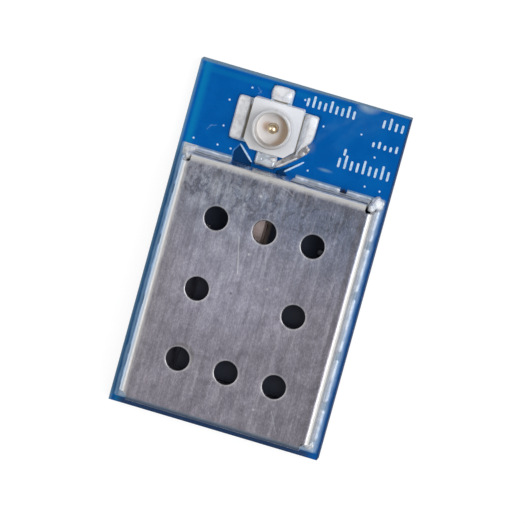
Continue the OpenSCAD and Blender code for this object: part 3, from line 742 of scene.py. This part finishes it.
def loop(bm, points):
    """Vertices and closed edges through points."""
    verts = [bm.verts.new(p) for p in points]
    edges = [bm.edges.new((a, b)) for a, b in zip(verts, verts[1:] + verts[:1])]
    return verts, edges


def bridge(bm, one, other, closed=True):
    """Quads between two rows of vertices."""
    for i in range(len(one) if closed else len(one) - 1):
        j = (i + 1) % len(one)
        bm.faces.new((one[i], one[j], other[j], other[i]))


def skin(bm, rows, closed=True, capped=False):
    """Quads between neighbouring rows of vertices, with a face over the first and last row where capped."""
    for one, other in zip(rows, rows[1:]):
        bridge(bm, one, other, closed)
    if capped:
        bm.faces.new(rows[0])
        bm.faces.new(rows[-1])


def fan(bm, tip, ring):
    """Triangles between a tip and a closed ring of vertices."""
    for a, b in zip(ring, ring[1:] + ring[:1]):
        bm.faces.new((tip, a, b))


def circle(centre, radius, z, count):
    turns = [math.tau * i / count for i in range(count)]
    return [Vector((centre[0] + radius * math.cos(t), centre[1] + radius * math.sin(t), z)) for t in turns]


def quarter(count):
    """Angles over a quarter turn, both ends included."""
    return [math.radians(90 * k / count) for k in range(count + 1)]


def arc(centre, radius, start, count):
    """Points in a plane along a quarter of a circle from an angle in degrees, both ends included."""
    turns = [math.radians(start) + t for t in quarter(count)]
    return [(centre[0] + radius * math.cos(t), centre[1] + radius * math.sin(t)) for t in turns]


def lathe(bm, profile, centre, count=96, closed=True):
    """Turns a section of (radius, height) points round an upright axis; points at radius 0 become a tip."""
    rows = []
    for radius, z in profile:
        points = circle(centre, radius, z, count) if radius else [(centre[0], centre[1], z)]
        rows.append([bm.verts.new(p) for p in points])
    for one, other in zip(rows, rows[1:] + rows[:1] if closed else rows[1:]):
        if len(one) == 1:
            fan(bm, one[0], other)
        elif len(other) == 1:
            fan(bm, other[0], one)
        else:
            bridge(bm, one, other)


def prism(bm, outline, low, high):
    """A closed block over a plan outline."""
    skin(bm, [[bm.verts.new((x, y, z)) for x, y in outline] for z in (low, high)], capped=True)


def rectangle(low, high):
    return [(low[0], low[1]), (high[0], low[1]), (high[0], high[1]), (low[0], high[1])]


def rounded_box(low, high, radius):
    """Outline of a box with round corners."""
    corners = [((high[0] - radius, high[1] - radius), 0), ((low[0] + radius, high[1] - radius), 90),
               ((low[0] + radius, low[1] + radius), 180), ((high[0] - radius, low[1] + radius), 270)]
    return [p for centre, turn in corners for p in arc(centre, radius, turn, 5)]


# The folded can

VENT_ROLL = 0.05
VENT_BURR = 0.02
VENT_POINTS = 64
RELIEF_POINTS = 8
BENDS = 10


def side_axes(side):
    """Directions out of and along one of the can's sides, counted from the east one to the north."""
    turn = Matrix.Rotation(math.radians(90 * side), 2)
    return turn @ Vector((1, 0)), turn @ Vector((0, 1))


def can_outline(z):
    """The flat roof's outline, four sides with a round relief between each two; also each side's two ends."""
    flat = CAN_HIGH - CAN_MID - Vector((FOLD, FOLD, 0))
    points, ends = [], []
    for side in range(4):
        out, along = side_axes(side)
        reach, half = (flat.x, flat.y) if side % 2 == 0 else (flat.y, flat.x)
        middle = CAN_MID.xy + out * reach
        ends.append((len(points), len(points) + 1))
        points.append(middle - along * (half - RELIEF))
        corner = middle + along * half
        for t in quarter(RELIEF_POINTS)[:-1]:
            points.append(corner - along * (RELIEF * math.cos(t)) - out * (RELIEF * math.sin(t)))
    return [Vector((p.x, p.y, z)) for p in points], ends


def foot_gaps(side):
    """Cut-outs in a wall's foot as (place, width, height), along the wall from its middle."""
    if side % 2 == 0:
        return [(place, *FOOT_GAP) for place in SIDE_GAPS]
    if side == 1:
        return [(-END_GAP, *FOOT_GAP), (CAN_MID.x - SOCKET.x, *FEED_PORT)]
    return [(-END_GAP, *FOOT_GAP), (END_GAP, *FOOT_GAP)]


def folded_can():
    """The can as one sheet: a roof with rolled vents and relieved corners, and four walls folded down."""
    bm = bmesh.new()
    under = ROOF - SHEET
    top_points, ends = can_outline(ROOF)
    top, top_edges = loop(bm, top_points)
    low, low_edges = loop(bm, can_outline(under)[0])
    section = [(VENT_R + VENT_ROLL * (1 - math.sin(t)), ROOF - VENT_ROLL * (1 - math.cos(t)))
               for t in quarter(5)]
    section += [(VENT_R, under + VENT_BURR), (VENT_R + VENT_BURR / 2, under)]
    for i in (-1, 0, 1):
        for j in (-1, 0, 1):
            if i == 0 and j == 0:
                continue
            centre = (CAN_MID.x + i * VENT_PITCH[0], CAN_MID.y + j * VENT_PITCH[1])
            rows = [loop(bm, circle(centre, radius, z, VENT_POINTS)) for radius, z in section]
            skin(bm, [verts for verts, _ in rows])
            top_edges += rows[0][1]
            low_edges += rows[-1][1]
    bmesh.ops.triangle_fill(bm, edges=top_edges, use_beauty=True, normal=(0, 0, 1))
    bmesh.ops.triangle_fill(bm, edges=low_edges, use_beauty=True, normal=(0, 0, -1))
    corner_count = len(top) // 4
    for side in range(4):
        for k in range(1, corner_count):
            i, j = side * corner_count + k, (side * corner_count + k + 1) % len(top)
            bm.faces.new((top[i], top[j], low[j], low[i]))
        add_wall(bm, side, *(top_points[end] for end in ends[side]))
    piece("folded_can", bm, "can_sheet", ("shield_can",), sharp=50.0)


def add_wall(bm, side, start, end):
    """One fold and the wall under it, from the roof's edge down to the board."""
    along = (end - start).normalized()
    out = along.cross(Vector((0, 0, 1)))
    length = (end - start).length
    fold_z = ROOF - FOLD
    skins = (FOLD, FOLD - SHEET)
    turns = quarter(BENDS)

    def at(s, reach, z):
        spot = start + along * s + out * reach
        return Vector((spot.x, spot.y, z))

    def bent(s, radius, t):
        return bm.verts.new(at(s, radius * math.sin(t), fold_z + radius * math.cos(t)))

    for radius in skins:
        skin(bm, [[bent(s, radius, t) for s in (0, length)] for t in turns], closed=False)
    for s in (0, length):
        skin(bm, [[bent(s, radius, t) for t in turns] for radius in skins], closed=False)
    outline = [(length, fold_z), (0, fold_z), (0, TOP)]
    for place, width, height in foot_gaps(side):
        near, far = length / 2 + place - width / 2, length / 2 + place + width / 2
        outline += [(near, TOP), (near, TOP + height), (far, TOP + height), (far, TOP)]
    outline.append((length, TOP))
    loops = [loop(bm, [at(s, reach, z) for s, z in outline]) for reach in skins]
    for _, edges in loops:
        bmesh.ops.triangle_fill(bm, edges=edges, use_beauty=True)
    outer, inner = (verts for verts, _ in loops)
    for i in range(1, len(outer)):
        j = (i + 1) % len(outer)
        bm.faces.new((outer[i], outer[j], inner[j], inner[i]))


# Solder along the can

# Width and height of the runs on the east, north, west and south side
RUN_SIZES = ((0.2, 0.26), (0.12, 0.2), (0.26, 0.2), (0.12, 0.16))
RUN_TAPER = 0.16
RUN_STEP = 0.06
RUN_POINTS = 7
WAVE_PITCH = 0.45
# How uneven the larger drops are
RAGGED = 0.3
# Drops at the corners: the corner's side in X and Y, how far out they sit, radius, height and shoulder
CORNER_DROPS = ((1, 1, 0.18, 0.22, 1.3, 0.45), (1, 1, 0.33, 0.38, 0.6, 2.0), (-1, 1, 0.17, 0.22, 1.3, 0.45),
                (-1, 1, 0.28, 0.34, 0.5, 2.0), (-1, -1, 0.24, 0.2, 0.1, 1.0), (1, -1, 0.2, 0.24, 0.5, 1.0),
                (1, -1, 0.28, 0.22, 0.05, 1.0))


def wavy(s, seed):
    """A smooth wave from -1 to 1 along a length, the same in each run."""
    return noise.noise(Vector((s / WAVE_PITCH, seed * 7.3, 0.5)))


def solder_run(bm, start, along, out, length, width, height, seed):
    """A hollow run of solder in the corner between a wall and its land, thinner at its ends."""
    stations = max(6, int(length / RUN_STEP))
    rows = []
    for i in range(stations + 1):
        s = length * i / stations
        end = min(1.0, min(s, length - s) / RUN_TAPER)
        full = math.sqrt(max(0.0, end * (2 - end)))
        w = width * (0.55 + 0.45 * full) * (0.9 + 0.2 * wavy(s, seed))
        h = height * (0.3 + 0.7 * full) * (0.85 + 0.4 * wavy(s, seed + 0.5))
        section = [(0.0, 0.0)]
        for k in range(RUN_POINTS + 1):
            t = k / RUN_POINTS
            section.append((w * (1 - t), h * (0.4 * t + 0.6 * t ** 5)))
        foot = start + along * s
        rows.append([bm.verts.new((*(foot + out * reach), TOP + z)) for reach, z in section])
    skin(bm, rows, capped=True)


def solder_drop(bm, centre, radius, height, seed, rings=8, count=28, uneven=0.12, shoulder=1.0):
    """A drop of solder with an uneven edge; a shoulder below 1 makes it a post, above 1 a hollow cone."""
    turns = [math.tau * i / count for i in range(count)]
    rows = []
    for t in quarter(rings)[:-1]:
        row = []
        for a in turns:
            wave = 1 + uneven * noise.noise(Vector((2 * math.cos(a), 2 * math.sin(a), seed)))
            r = radius * math.cos(t) ** shoulder * wave
            place = (centre[0] + r * math.cos(a), centre[1] + r * math.sin(a), TOP + height * math.sin(t))
            row.append(bm.verts.new(place))
        rows.append(row)
    skin(bm, rows)
    fan(bm, bm.verts.new((centre[0], centre[1], TOP + height)), rows[-1])
    bm.faces.new(rows[0])


def can_solder():
    """The runs along the can's walls and the drops at its corners."""
    bm, drops = bmesh.new(), bmesh.new()
    half = CAN_HIGH - CAN_MID
    walls = half - Vector((FOLD + RELIEF, FOLD + RELIEF, 0))
    for side in range(4):
        out, along = side_axes(side)
        reach, half_wall = (half.x, walls.y) if side % 2 == 0 else (half.y, walls.x)
        breaks = [(place, width) for place, width, _ in foot_gaps(side)]
        if side == 1:
            breaks[1] = (breaks[1][0], FEED_BREAK)
        starts = [-half_wall] + [place + width / 2 for place, width in breaks]
        stops = [place - width / 2 for place, width in breaks] + [half_wall]
        for index, (begin, stop) in enumerate(zip(starts, stops)):
            start = CAN_MID.xy + out * reach + along * begin
            solder_run(bm, start, along, out, stop - begin, *RUN_SIZES[side], seed=side * 5 + index)
    for i, j, past, radius, height, shoulder in CORNER_DROPS:
        centre = (CAN_MID.x + i * (walls.x + past), CAN_MID.y + j * (walls.y + past))
        solder_drop(drops, centre, radius, height, seed=i + 2 * j + radius, uneven=RAGGED, shoulder=shoulder)
    piece("can_corner_drops", drops, "solder", ("shield_solder",), FROSTED, sharp=60.0)
    piece("can_solder", bm, "solder", ("shield_solder",), RUNS, sharp=60.0)


# The antenna socket

# Rounding of the base's edges, play round the ring and the pin, and how far cutters reach past the base
BASE_EDGE = 0.045
RING_PLAY = 0.005
PIN_PLAY = 0.02
CUT_PAST = 1
# Width and height of the floor's rim, and the flat on top of the ring's lip
FLOOR_RIM = (0.06, 0.05)
LIP_FLAT = 0.04


def leg_boxes():
    """Plan boxes of the socket's three legs and its tail, from the ring's wall outwards."""
    inner = RING_R - (GROOVE + RING_WALL) / 2
    side = SIDE_LEG_W / 2
    tail = TAIL_W / 2
    x, y = SOCKET.x, SOCKET.y
    return {
        "west": ((SHELL_LOW.x, y - side), (x - inner, y + side)),
        "east": ((x + inner, y - side), (SHELL_HIGH.x, y + side)),
        "north": ((x - tail, y + inner), (x + tail, SHELL_HIGH.y)),
        "south": ((x - tail, PIN_LOW.y), (x + tail, y)),
    }


def socket_base():
    """The moulded base: chamfered on the feed side, bored for the ring, and cut away over the legs."""
    low, high, c, r = BASE_LOW, BASE_HIGH, BASE_CHAMFER, BASE_ROUND
    outline = [(low.x + c, low.y), (high.x - c, low.y), (high.x, low.y + c)]
    outline += arc((high.x - r, high.y - r), r, 0, 4) + arc((low.x + r, high.y - r), r, 90, 4)
    outline.append((low.x, low.y + c))
    bm = bmesh.new()
    prism(bm, outline, TOP, high.z)
    made = piece("socket_base", bm, "white_resin", ("socket_insulator",))
    made.modifiers.clear()
    neck = RING_R - GROOVE
    bore, slots, inside = bmesh.new(), bmesh.new(), bmesh.new()
    below, above = TOP - CUT_PAST, high.z + CUT_PAST
    section = [(0, below), (neck + RING_DRAFT, below), (neck + RING_PLAY, above), (0, above)]
    lathe(bore, section, SOCKET, closed=False)
    cut(made, loose("bore", bore))
    for box in leg_boxes().values():
        prism(slots, rectangle(*box), below, TOP + LEG_T)
    cut(made, loose("slots", slots))
    round_edges(made, BASE_EDGE, 4)
    rim_w, rim_h = FLOOR_RIM
    section = [(PIN_R + PIN_DRAFT, TOP + LEG_T), (BORE_R, TOP + LEG_T), (BORE_R, TOP + FLOOR_H + rim_h),
               (BORE_R - rim_w, TOP + FLOOR_H), (PIN_R + PIN_PLAY, TOP + FLOOR_H)]
    lathe(inside, section, SOCKET)
    piece("socket_floor", inside, "white_resin", ("socket_insulator",))


def socket_ring():
    """The contact ring with its groove and rolled lip, and the three legs."""
    rim = SHELL_HIGH.z
    lip = (RING_WALL - LIP_FLAT) / 2
    neck = RING_R - GROOVE
    section = [(BORE_R, TOP + LEG_T), (neck + RING_DRAFT, TOP + LEG_T), (neck, TOP + GROOVE_TOP),
               (RING_R, TOP + GROOVE_TOP + GROOVE)]
    section += arc((RING_R - lip, rim - lip), lip, 0, 6) + arc((BORE_R + lip, rim - lip), lip, 90, 6)
    bm = bmesh.new()
    lathe(bm, section, SOCKET)
    for name, box in leg_boxes().items():
        if name != "south":
            prism(bm, rectangle(*box), TOP, TOP + LEG_T)
    piece("socket_ring", bm, "silver_plate", ("socket_shell",))


def socket_centre_pin():
    """The gilt centre pin with its round tip, and the flat tail that runs out under the ring."""
    tip = PIN_HIGH.z
    section = [(0, TOP + LEG_T), (PIN_R + PIN_DRAFT, TOP + LEG_T), (PIN_R, TOP + FLOOR_H)]
    section += arc((0, tip - PIN_R), PIN_R, 0, 12)[:-1] + [(0, tip)]
    bm = bmesh.new()
    lathe(bm, section, SOCKET, 64, closed=False)
    low, high = leg_boxes()["south"]
    prism(bm, rectangle(low, (high[0], high[1] + PIN_R)), TOP, TOP + LEG_T)
    piece("socket_centre_pin", bm, "gold_plate", ("socket_pin",))


def socket_pads():
    """The socket's four lands, with round corners."""
    lap = 0.2
    bm = bmesh.new()
    for low, high in (((PADS_LOW.x, SIDE_LOW), (BASE_LOW.x + lap, SIDE_HIGH)),
                      ((BASE_HIGH.x - lap, SIDE_LOW), (PADS_HIGH.x, SIDE_HIGH)),
                      ((END_LOW, PADS_LOW.y), (END_HIGH, BASE_LOW.y + lap)),
                      ((END_LOW, BASE_HIGH.y - lap), (END_HIGH, PADS_HIGH.y))):
        prism(bm, rounded_box(low, high, LAND_ROUND), TOP, PADS_HIGH.z)
    piece("socket_pads", bm, "tinned_land", ("socket_lands",))


# Solder round the socket

# Thickness of printed ink, and of mask over a land
FILM_T = 0.012
SLOT_GAP = 0.13
SEAM = 0.02
NEAR = 0.01
# How far the west and north lump reach past their lands
PAST_WEST = 0.06
PAST_NORTH = 0.02
# How far the north lump stops short of its land's east end, and the tab's lap and ends on the west lump
NORTH_SHORT = 0.03
TAB_LAP = 0.06
TAB_ENDS = (0.4, 0.02)
# Drops on the lumps: place, radius, height and seed
DULL_DROPS = (((-0.72, 8.4), 0.23, 0.29, 4.0), ((-0.64, 5.1), 0.19, 0.28, 6.0))
BRIGHT_DROP = ((-1.25, 4.98), 0.13, 0.22, 8.0)


def solder_lump(bm, low, high, height, lean=None, corner=0.14, skirt=0.1):
    """A lump of solder over a round-cornered box: height(u, v) its height, lean(v) its share in width."""
    count = 30
    reach = high[0] - low[0]
    half = Vector((reach / 2, (high[1] - low[1]) / 2))
    inset = 0.3 * corner
    bend_x, bend_y = (1.6 / -math.log(1 - min(0.9, corner / size)) for size in half)
    grid = []
    for i in range(count + 1):
        row = []
        for j in range(count + 1):
            u, v = -1 + 2 * i / count, -1 + 2 * j / count
            share = lean(v) if lean else 1.0
            across = 0.5 + 0.5 * u * (1 - inset / half.x * abs(v) ** bend_y)
            x = low[0] + reach * share * across
            y = (low[1] + high[1]) / 2 + half.y * v * (1 - inset / half.y * abs(u) ** bend_x)
            edge = min(1.0, (1 - abs(u)) * half.x * share / skirt) * min(1.0, (1 - abs(v)) * half.y / skirt)
            swell = 1 + 0.1 * noise.noise(Vector((x * 2.0, y * 2.0, 0.3)))
            row.append(bm.verts.new((x, y, TOP + height(u, v) * math.sin(edge * math.pi / 2) * swell)))
        grid.append(row)
    skin(bm, grid, closed=False)
    border = [row[0] for row in grid] + grid[-1][1:] + [row[-1] for row in grid[-2::-1]] + grid[0][-2:0:-1]
    bm.faces.new(border)


def west_height(u, v):
    return 0.24 + 0.04 * u


def tab_height(u, v):
    return 0.24


def north_height(u, v):
    return 0.15 + 0.1 * crest(v, 0.1, 0.75)


def south_height(u, v):
    return 0.14 + 0.07 * crest(v, -0.25, 0.7)


def east_height(u, v):
    """The east lump's height: a low shelf by the base, then a ridge that slopes down outwards."""
    rise = min(1.0, max(0.0, (u + 0.5) / 0.5))
    rise *= rise * (3 - 2 * rise)
    return 0.15 + 0.1 * rise - 0.06 * rise * max(0.0, u)


def east_lean(v):
    """The east lump's share of its land's width: narrow at the feed end, full past the middle."""
    along = (v + 1) / 2
    return 0.2 + 0.79 / (1 + math.exp((0.27 - along) / 0.07))


def crest(v, place, width):
    """A round crest of height 1 across a lump."""
    return max(0.0, 1 - ((v - place) / width) ** 2)


def socket_solder_lumps():
    """Solder on the socket's four lands: a flat west one with a tab, a sloped east one, two with drops."""
    bm, dull = bmesh.new(), bmesh.new()
    west, south = BASE_LOW.x - SLOT_GAP, BASE_LOW.y - NEAR
    east, north = BASE_HIGH.x + SEAM, BASE_HIGH.y + NEAR
    west_box = ((PADS_LOW.x - PAST_WEST, SIDE_LOW), (west, SIDE_HIGH + PAST_NORTH))
    north_box = ((END_LOW - PAST_WEST, north), (END_HIGH - NORTH_SHORT, PADS_HIGH.y + PAST_NORTH))
    solder_lump(dull, *west_box, west_height, corner=0.16)
    tab_low, tab_high = (SIDE_HIGH - end for end in TAB_ENDS)
    solder_lump(dull, (west - TAB_LAP, tab_low), (BASE_LOW.x - NEAR, tab_high), tab_height)
    solder_lump(dull, (east, SIDE_LOW), (PADS_HIGH.x, SIDE_HIGH), east_height, east_lean, skirt=0.06)
    solder_lump(dull, *north_box, north_height, corner=0.22)
    solder_lump(bm, (END_LOW, PADS_LOW.y), (END_HIGH, south), south_height)
    for drop in DULL_DROPS:
        solder_drop(dull, *drop)
    solder_drop(bm, *BRIGHT_DROP)
    piece("socket_solder_dull", dull, "solder", ("socket_solder",), FROSTED, sharp=70.0)
    piece("socket_solder_lumps", bm, "solder", ("socket_solder",), sharp=70.0)


def east_mask_patch():
    """Mask over the part of the east land that the solder leaves free."""
    east = BASE_HIGH.x + SEAM
    reach = PADS_HIGH.x - east
    steps = [-1 + 2 * i / 16 for i in range(17)]
    inner = [(east + reach * east_lean(v), SOCKET.y + SIDE_LAND_HALF * v) for v in steps]
    outer = [(PADS_HIGH.x + NEAR, y) for _, y in reversed(inner)]
    bm = bmesh.new()
    prism(bm, inner + outer, TOP, TOP + FILM_T)
    piece("east_mask_patch", bm, "solder_mask")


# The bead beside the socket: its body and its bright edge, as start, end, width, height and flat of a ridge
RIBBON = ((0.82, 5.94), (-0.52, 4.78), 0.36, 0.08, 0.6)
RIBBON_EDGE = ((0.54, 5.56), (-0.46, 4.74), 0.12, 0.1, 1.0)
# The drop at the bead's foot: place, radius, height and seed
RIBBON_FOOT = ((0.74, 6.02), 0.25, 0.075, 3.0)


def feed_ribbon():
    """A bead of solder and flux along the base's chamfer that stops short of the feed land."""
    body, edge = bmesh.new(), bmesh.new()
    ridge(body, *RIBBON)
    solder_drop(body, *RIBBON_FOOT, uneven=RAGGED)
    ridge(edge, *RIBBON_EDGE)
    piece("feed_ribbon_edge", edge, "solder", finish=FROSTED, sharp=60.0)
    piece("feed_ribbon", body, "solder", finish=FLUX, sharp=60.0)


def ridge(bm, start, end, width, height, flat=1.0, stations=20, points=12):
    """A low round ridge between two places, thinner at its ends; a flat below 1 squares its top."""
    start, end = Vector(start), Vector(end)
    along = (end - start).normalized()
    out = Vector((-along.y, along.x))
    rows = []
    for i in range(stations + 1):
        t = i / stations
        full = math.sqrt(max(0.02, 1 - (2 * t - 1) ** 8))
        half = width / 2 * full * (1 + 0.15 * wavy(t * 2, 3.0))
        row = []
        for k in range(points + 1):
            a = math.pi * k / points
            spot = start.lerp(end, t) + out * (math.cos(a) * half)
            row.append(bm.verts.new((spot.x, spot.y, TOP + height * full * max(0.0, math.sin(a)) ** flat)))
        rows.append(row)
    skin(bm, rows, capped=True)


# Small marks on the board

VIAS = ((-2.63, 8.3), (0.1, 8.45), (-3.58, 7.39), (-3.53, 6.04), (-4.83, 5.02), (-3.57, 5.03), (-2.88, 5.02),
        (1.34, 7.42), (1.16, 5.05), (3.29, 7.57), (4.23, 6.64), (4.14, 5.08), (4.93, 5.05))
VIA_R = 0.055
# Copper edges that show through the mask beside the feed
COPPER_EDGES = (((-2.46, 5.4), (-1.67, 4.65)), ((0.89, 5.41), (0.02, 4.65)))
SWELL_W = 0.1
SWELL_H = 0.03
# Rows of printed ticks: first tick's place, number of ticks, pitch and height
TICK_ROWS = (((0.22, 8.18), 9, 0.3, 0.6), ((4.2, 8.18), 4, 0.32, 0.6), ((3.95, 7.12), 5, 0.3, 0.36),
             ((2.68, 6.3), 1, 0.3, 0.5), ((2.52, 5.65), 9, 0.32, 0.7))
TICK_W = 0.12
TICK_ROUND = 0.055
TICK_SHORT = 0.7


def tented_vias():
    """Small bumps of mask over the plated holes, painted pale as highlights."""
    bm = bmesh.new()
    for x, y in VIAS:
        solder_drop(bm, (x, y), VIA_R, SWELL_H, seed=x * 3 + y, rings=5, count=18)
    piece("tented_vias", bm, "solder_mask", finish=GLINT_MASK, sharp=70.0)


def copper_edges():
    """The mask's swell over the copper's edges, painted pale as a highlight."""
    bm = bmesh.new()
    for start, end in COPPER_EDGES:
        ridge(bm, start, end, SWELL_W, SWELL_H)
    piece("copper_edges", bm, "solder_mask", finish=GLINT_MASK, sharp=60.0)


def silk_ticks():
    """Plain printed ticks, every third one full height, where a module carries its print."""
    bm = bmesh.new()
    for (x, y), count, pitch, height in TICK_ROWS:
        for i in range(count):
            left = x + i * pitch
            tall = height if i % 3 == 1 else TICK_SHORT * height
            outline = rounded_box((left, y), (left + TICK_W, y + tall), TICK_ROUND)
            prism(bm, outline, TOP, TOP + FILM_T)
    piece("silk_ticks", bm, "solder_mask", finish=INK)


# CAD nodes that keep their own shape, with the rounding of their edges
KEPT_EDGES = {
    "circuit_board": 0.018, "radio_chip_body": 0.03, "main_crystal_base": 0.03, "main_crystal_lid": 0.04,
    "sleep_crystal_base": 0.03, "sleep_crystal_lid": 0.04, "capacitor_bodies": 0.03, "capacitor_ends": 0.04,
    "coil_bodies": 0.03, "coil_ends": 0.04, "resistor_bodies": 0.02, "resistor_ends": 0.03,
    "balun_body": 0.03, "balun_ends": 0.04, "shield_land": 0.008, "contact_pads": 0.01,
    "radio_chip_leads": 0.01, "radio_chip_heat_pad": 0.01,
}


WELD_REACH = 1e-7
FLAT_ANGLE = 2


def dress_nodes():
    """Gives each CAD node its finish, and rounds the edges of those that are shown."""
    slots = {part["node"]: part["material_slot"] for part in frame["record"]["subparts"]}
    for name, node in frame["nodes"].items():
        node.data.materials.clear()
        node.data.materials.append(FINISHES[slots[name]].material)
        if name in KEPT_EDGES:
            weld = node.modifiers.new("weld", "WELD")
            weld.merge_threshold = WELD_REACH
            flat = node.modifiers.new("flat_faces", "DECIMATE")
            flat.decimate_type = "DISSOLVE"
            flat.angle_limit = math.radians(FLAT_ANGLE)
            round_edges(node, KEPT_EDGES[name], 2)


# Stage, light and camera

FLOOR_REACH = 1500.0
FLOOR_Z = -0.01
PAPER = (0.85, 0.85, 0.85)
SHADOW = (0.22, 0.22, 0.22)
GLOW = 0.86
ZENITH = (0.24, 0.245, 0.265)
EAST = (1.0, 1.0, 1.0)
WEST = (0.75, 0.74, 0.73)
NORTH = (0.6, 0.6, 0.6)
SOUTH = (0.14, 0.16, 0.2)
# Softboxes: name, direction, distance and size in metres, radiance and colour
SOFTBOXES = (("east", (1.0, 0.25, 1.25), 0.4, 0.32, 3.2, (1.0, 1.0, 1.0)),
             ("west", (-1.0, 0.1, 1.1), 0.4, 0.32, 1.25, (1.0, 0.98, 0.95)),
             ("north", (-0.1, 1.0, 0.8), 0.4, 0.3, 0.3, (1.0, 0.97, 0.93)))


def floor():
    """A plain floor, white to the camera and in reflections, that keeps the part's shadow."""
    bm = bmesh.new()
    corners = rectangle((-FLOOR_REACH, -FLOOR_REACH), (FLOOR_REACH, FLOOR_REACH))
    bm.faces.new([bm.verts.new((x, y, FLOOR_Z)) for x, y in corners])
    made = loose("floor", bm)
    material = bpy.data.materials.new("floor")
    material.use_nodes = True
    sheet = Nodes(material.node_tree)
    sheet.tree.nodes.clear()
    soft = sheet.fed("BsdfDiffuse", {"Color": SHADOW})
    shown = sheet.fed("AddShader", {0: soft, 1: sheet.fed("Emission", {"Strength": GLOW})})
    seen = sheet.fed("LightPath", {}, "Is Camera Ray")
    for name in ("Is Glossy Ray", "Is Transmission Ray"):
        seen = seen.max(sheet.fed("LightPath", {}, name))
    paper = sheet.fed("BsdfDiffuse", {"Color": PAPER})
    sheet.node("OutputMaterial", {"Surface": sheet.fed("MixShader", {0: seen, 1: paper, 2: shown})})
    made.data.materials.append(material)


def studio_world():
    """A soft tent: grey overhead, palest low in the east, darkest low in the south."""
    world = bpy.data.worlds.new("studio")
    bpy.context.scene.world = world
    world.use_nodes = True
    sky = Nodes(world.node_tree)
    x, y, z = sky.split(sky.fed("TexCoord", {}, "Generated"))
    rim = sky.mix(x.rise(-0.6, 0.6), WEST, EAST)
    rim = sky.mix(y.rise(0.3, 0.8), rim, NORTH)
    rim = sky.mix(y.fall(-0.7, -0.1), rim, SOUTH)
    sky.put(sky.tree.nodes["Background"].inputs["Color"], sky.mix(z.rise(0.1, 0.85), rim, ZENITH))


def softbox(name, direction, distance, size, radiance, colour):
    """A square area lamp that faces the part; radiance is how bright its face is."""
    lamp = bpy.data.lights.new(name, "AREA")
    lamp.shape = "SQUARE"
    lamp.size = size
    lamp.energy = radiance * math.pi * size * size
    lamp.color = colour
    made = bpy.data.objects.new(name, lamp)
    away = Vector(direction).normalized()
    made.location = away * distance
    made.rotation_mode = "QUATERNION"
    made.rotation_quaternion = away.to_track_quat("Z", "Y")
    bpy.context.scene.collection.objects.link(made)


def lights():
    for box in SOFTBOXES:
        softbox(*box)


# The camera, worked out from the board's corners in the photo, in millimetres, photo pixels and radians
PHOTO_WIDTH = 524
FOCAL_PX = 9969.45
DISTANCE = 500.0
AIM = Vector((0.2375, 0.0769, 1.5))
TILT = (0.1045, 0.1699)
ROLL = 0.2867
SENSOR_W = 36.0
CLIP_M = (0.01, 10.0)


def camera():
    """The camera at the photo's angle."""
    data = bpy.data.cameras.new("camera")
    data.sensor_width = SENSOR_W
    data.lens = FOCAL_PX / PHOTO_WIDTH * SENSOR_W
    data.clip_start, data.clip_end = CLIP_M
    back = Vector((math.tan(TILT[0]), math.tan(TILT[1]), 1.0)).normalized()
    level = (Vector((1, 0, 0)) - back * back.x).normalized()
    upright = back.cross(level)
    right = level * math.cos(ROLL) + upright * math.sin(ROLL)
    up = upright * math.cos(ROLL) - level * math.sin(ROLL)
    turned = Matrix((right, up, back)).transposed().to_4x4()
    made = bpy.data.objects.new("camera", data)
    made.matrix_world = Matrix.Translation((AIM + back * DISTANCE) * MM) @ turned
    bpy.context.scene.collection.objects.link(made)
    bpy.context.scene.camera = made


dress_nodes()
folded_can()
can_solder()
socket_base()
socket_ring()
socket_centre_pin()
socket_pads()
socket_solder_lumps()
east_mask_patch()
feed_ribbon()
tented_vias()
copper_edges()
silk_ticks()
floor()
studio_world()
lights()
camera()
bpy.context.scene.view_settings.view_transform = "Standard"
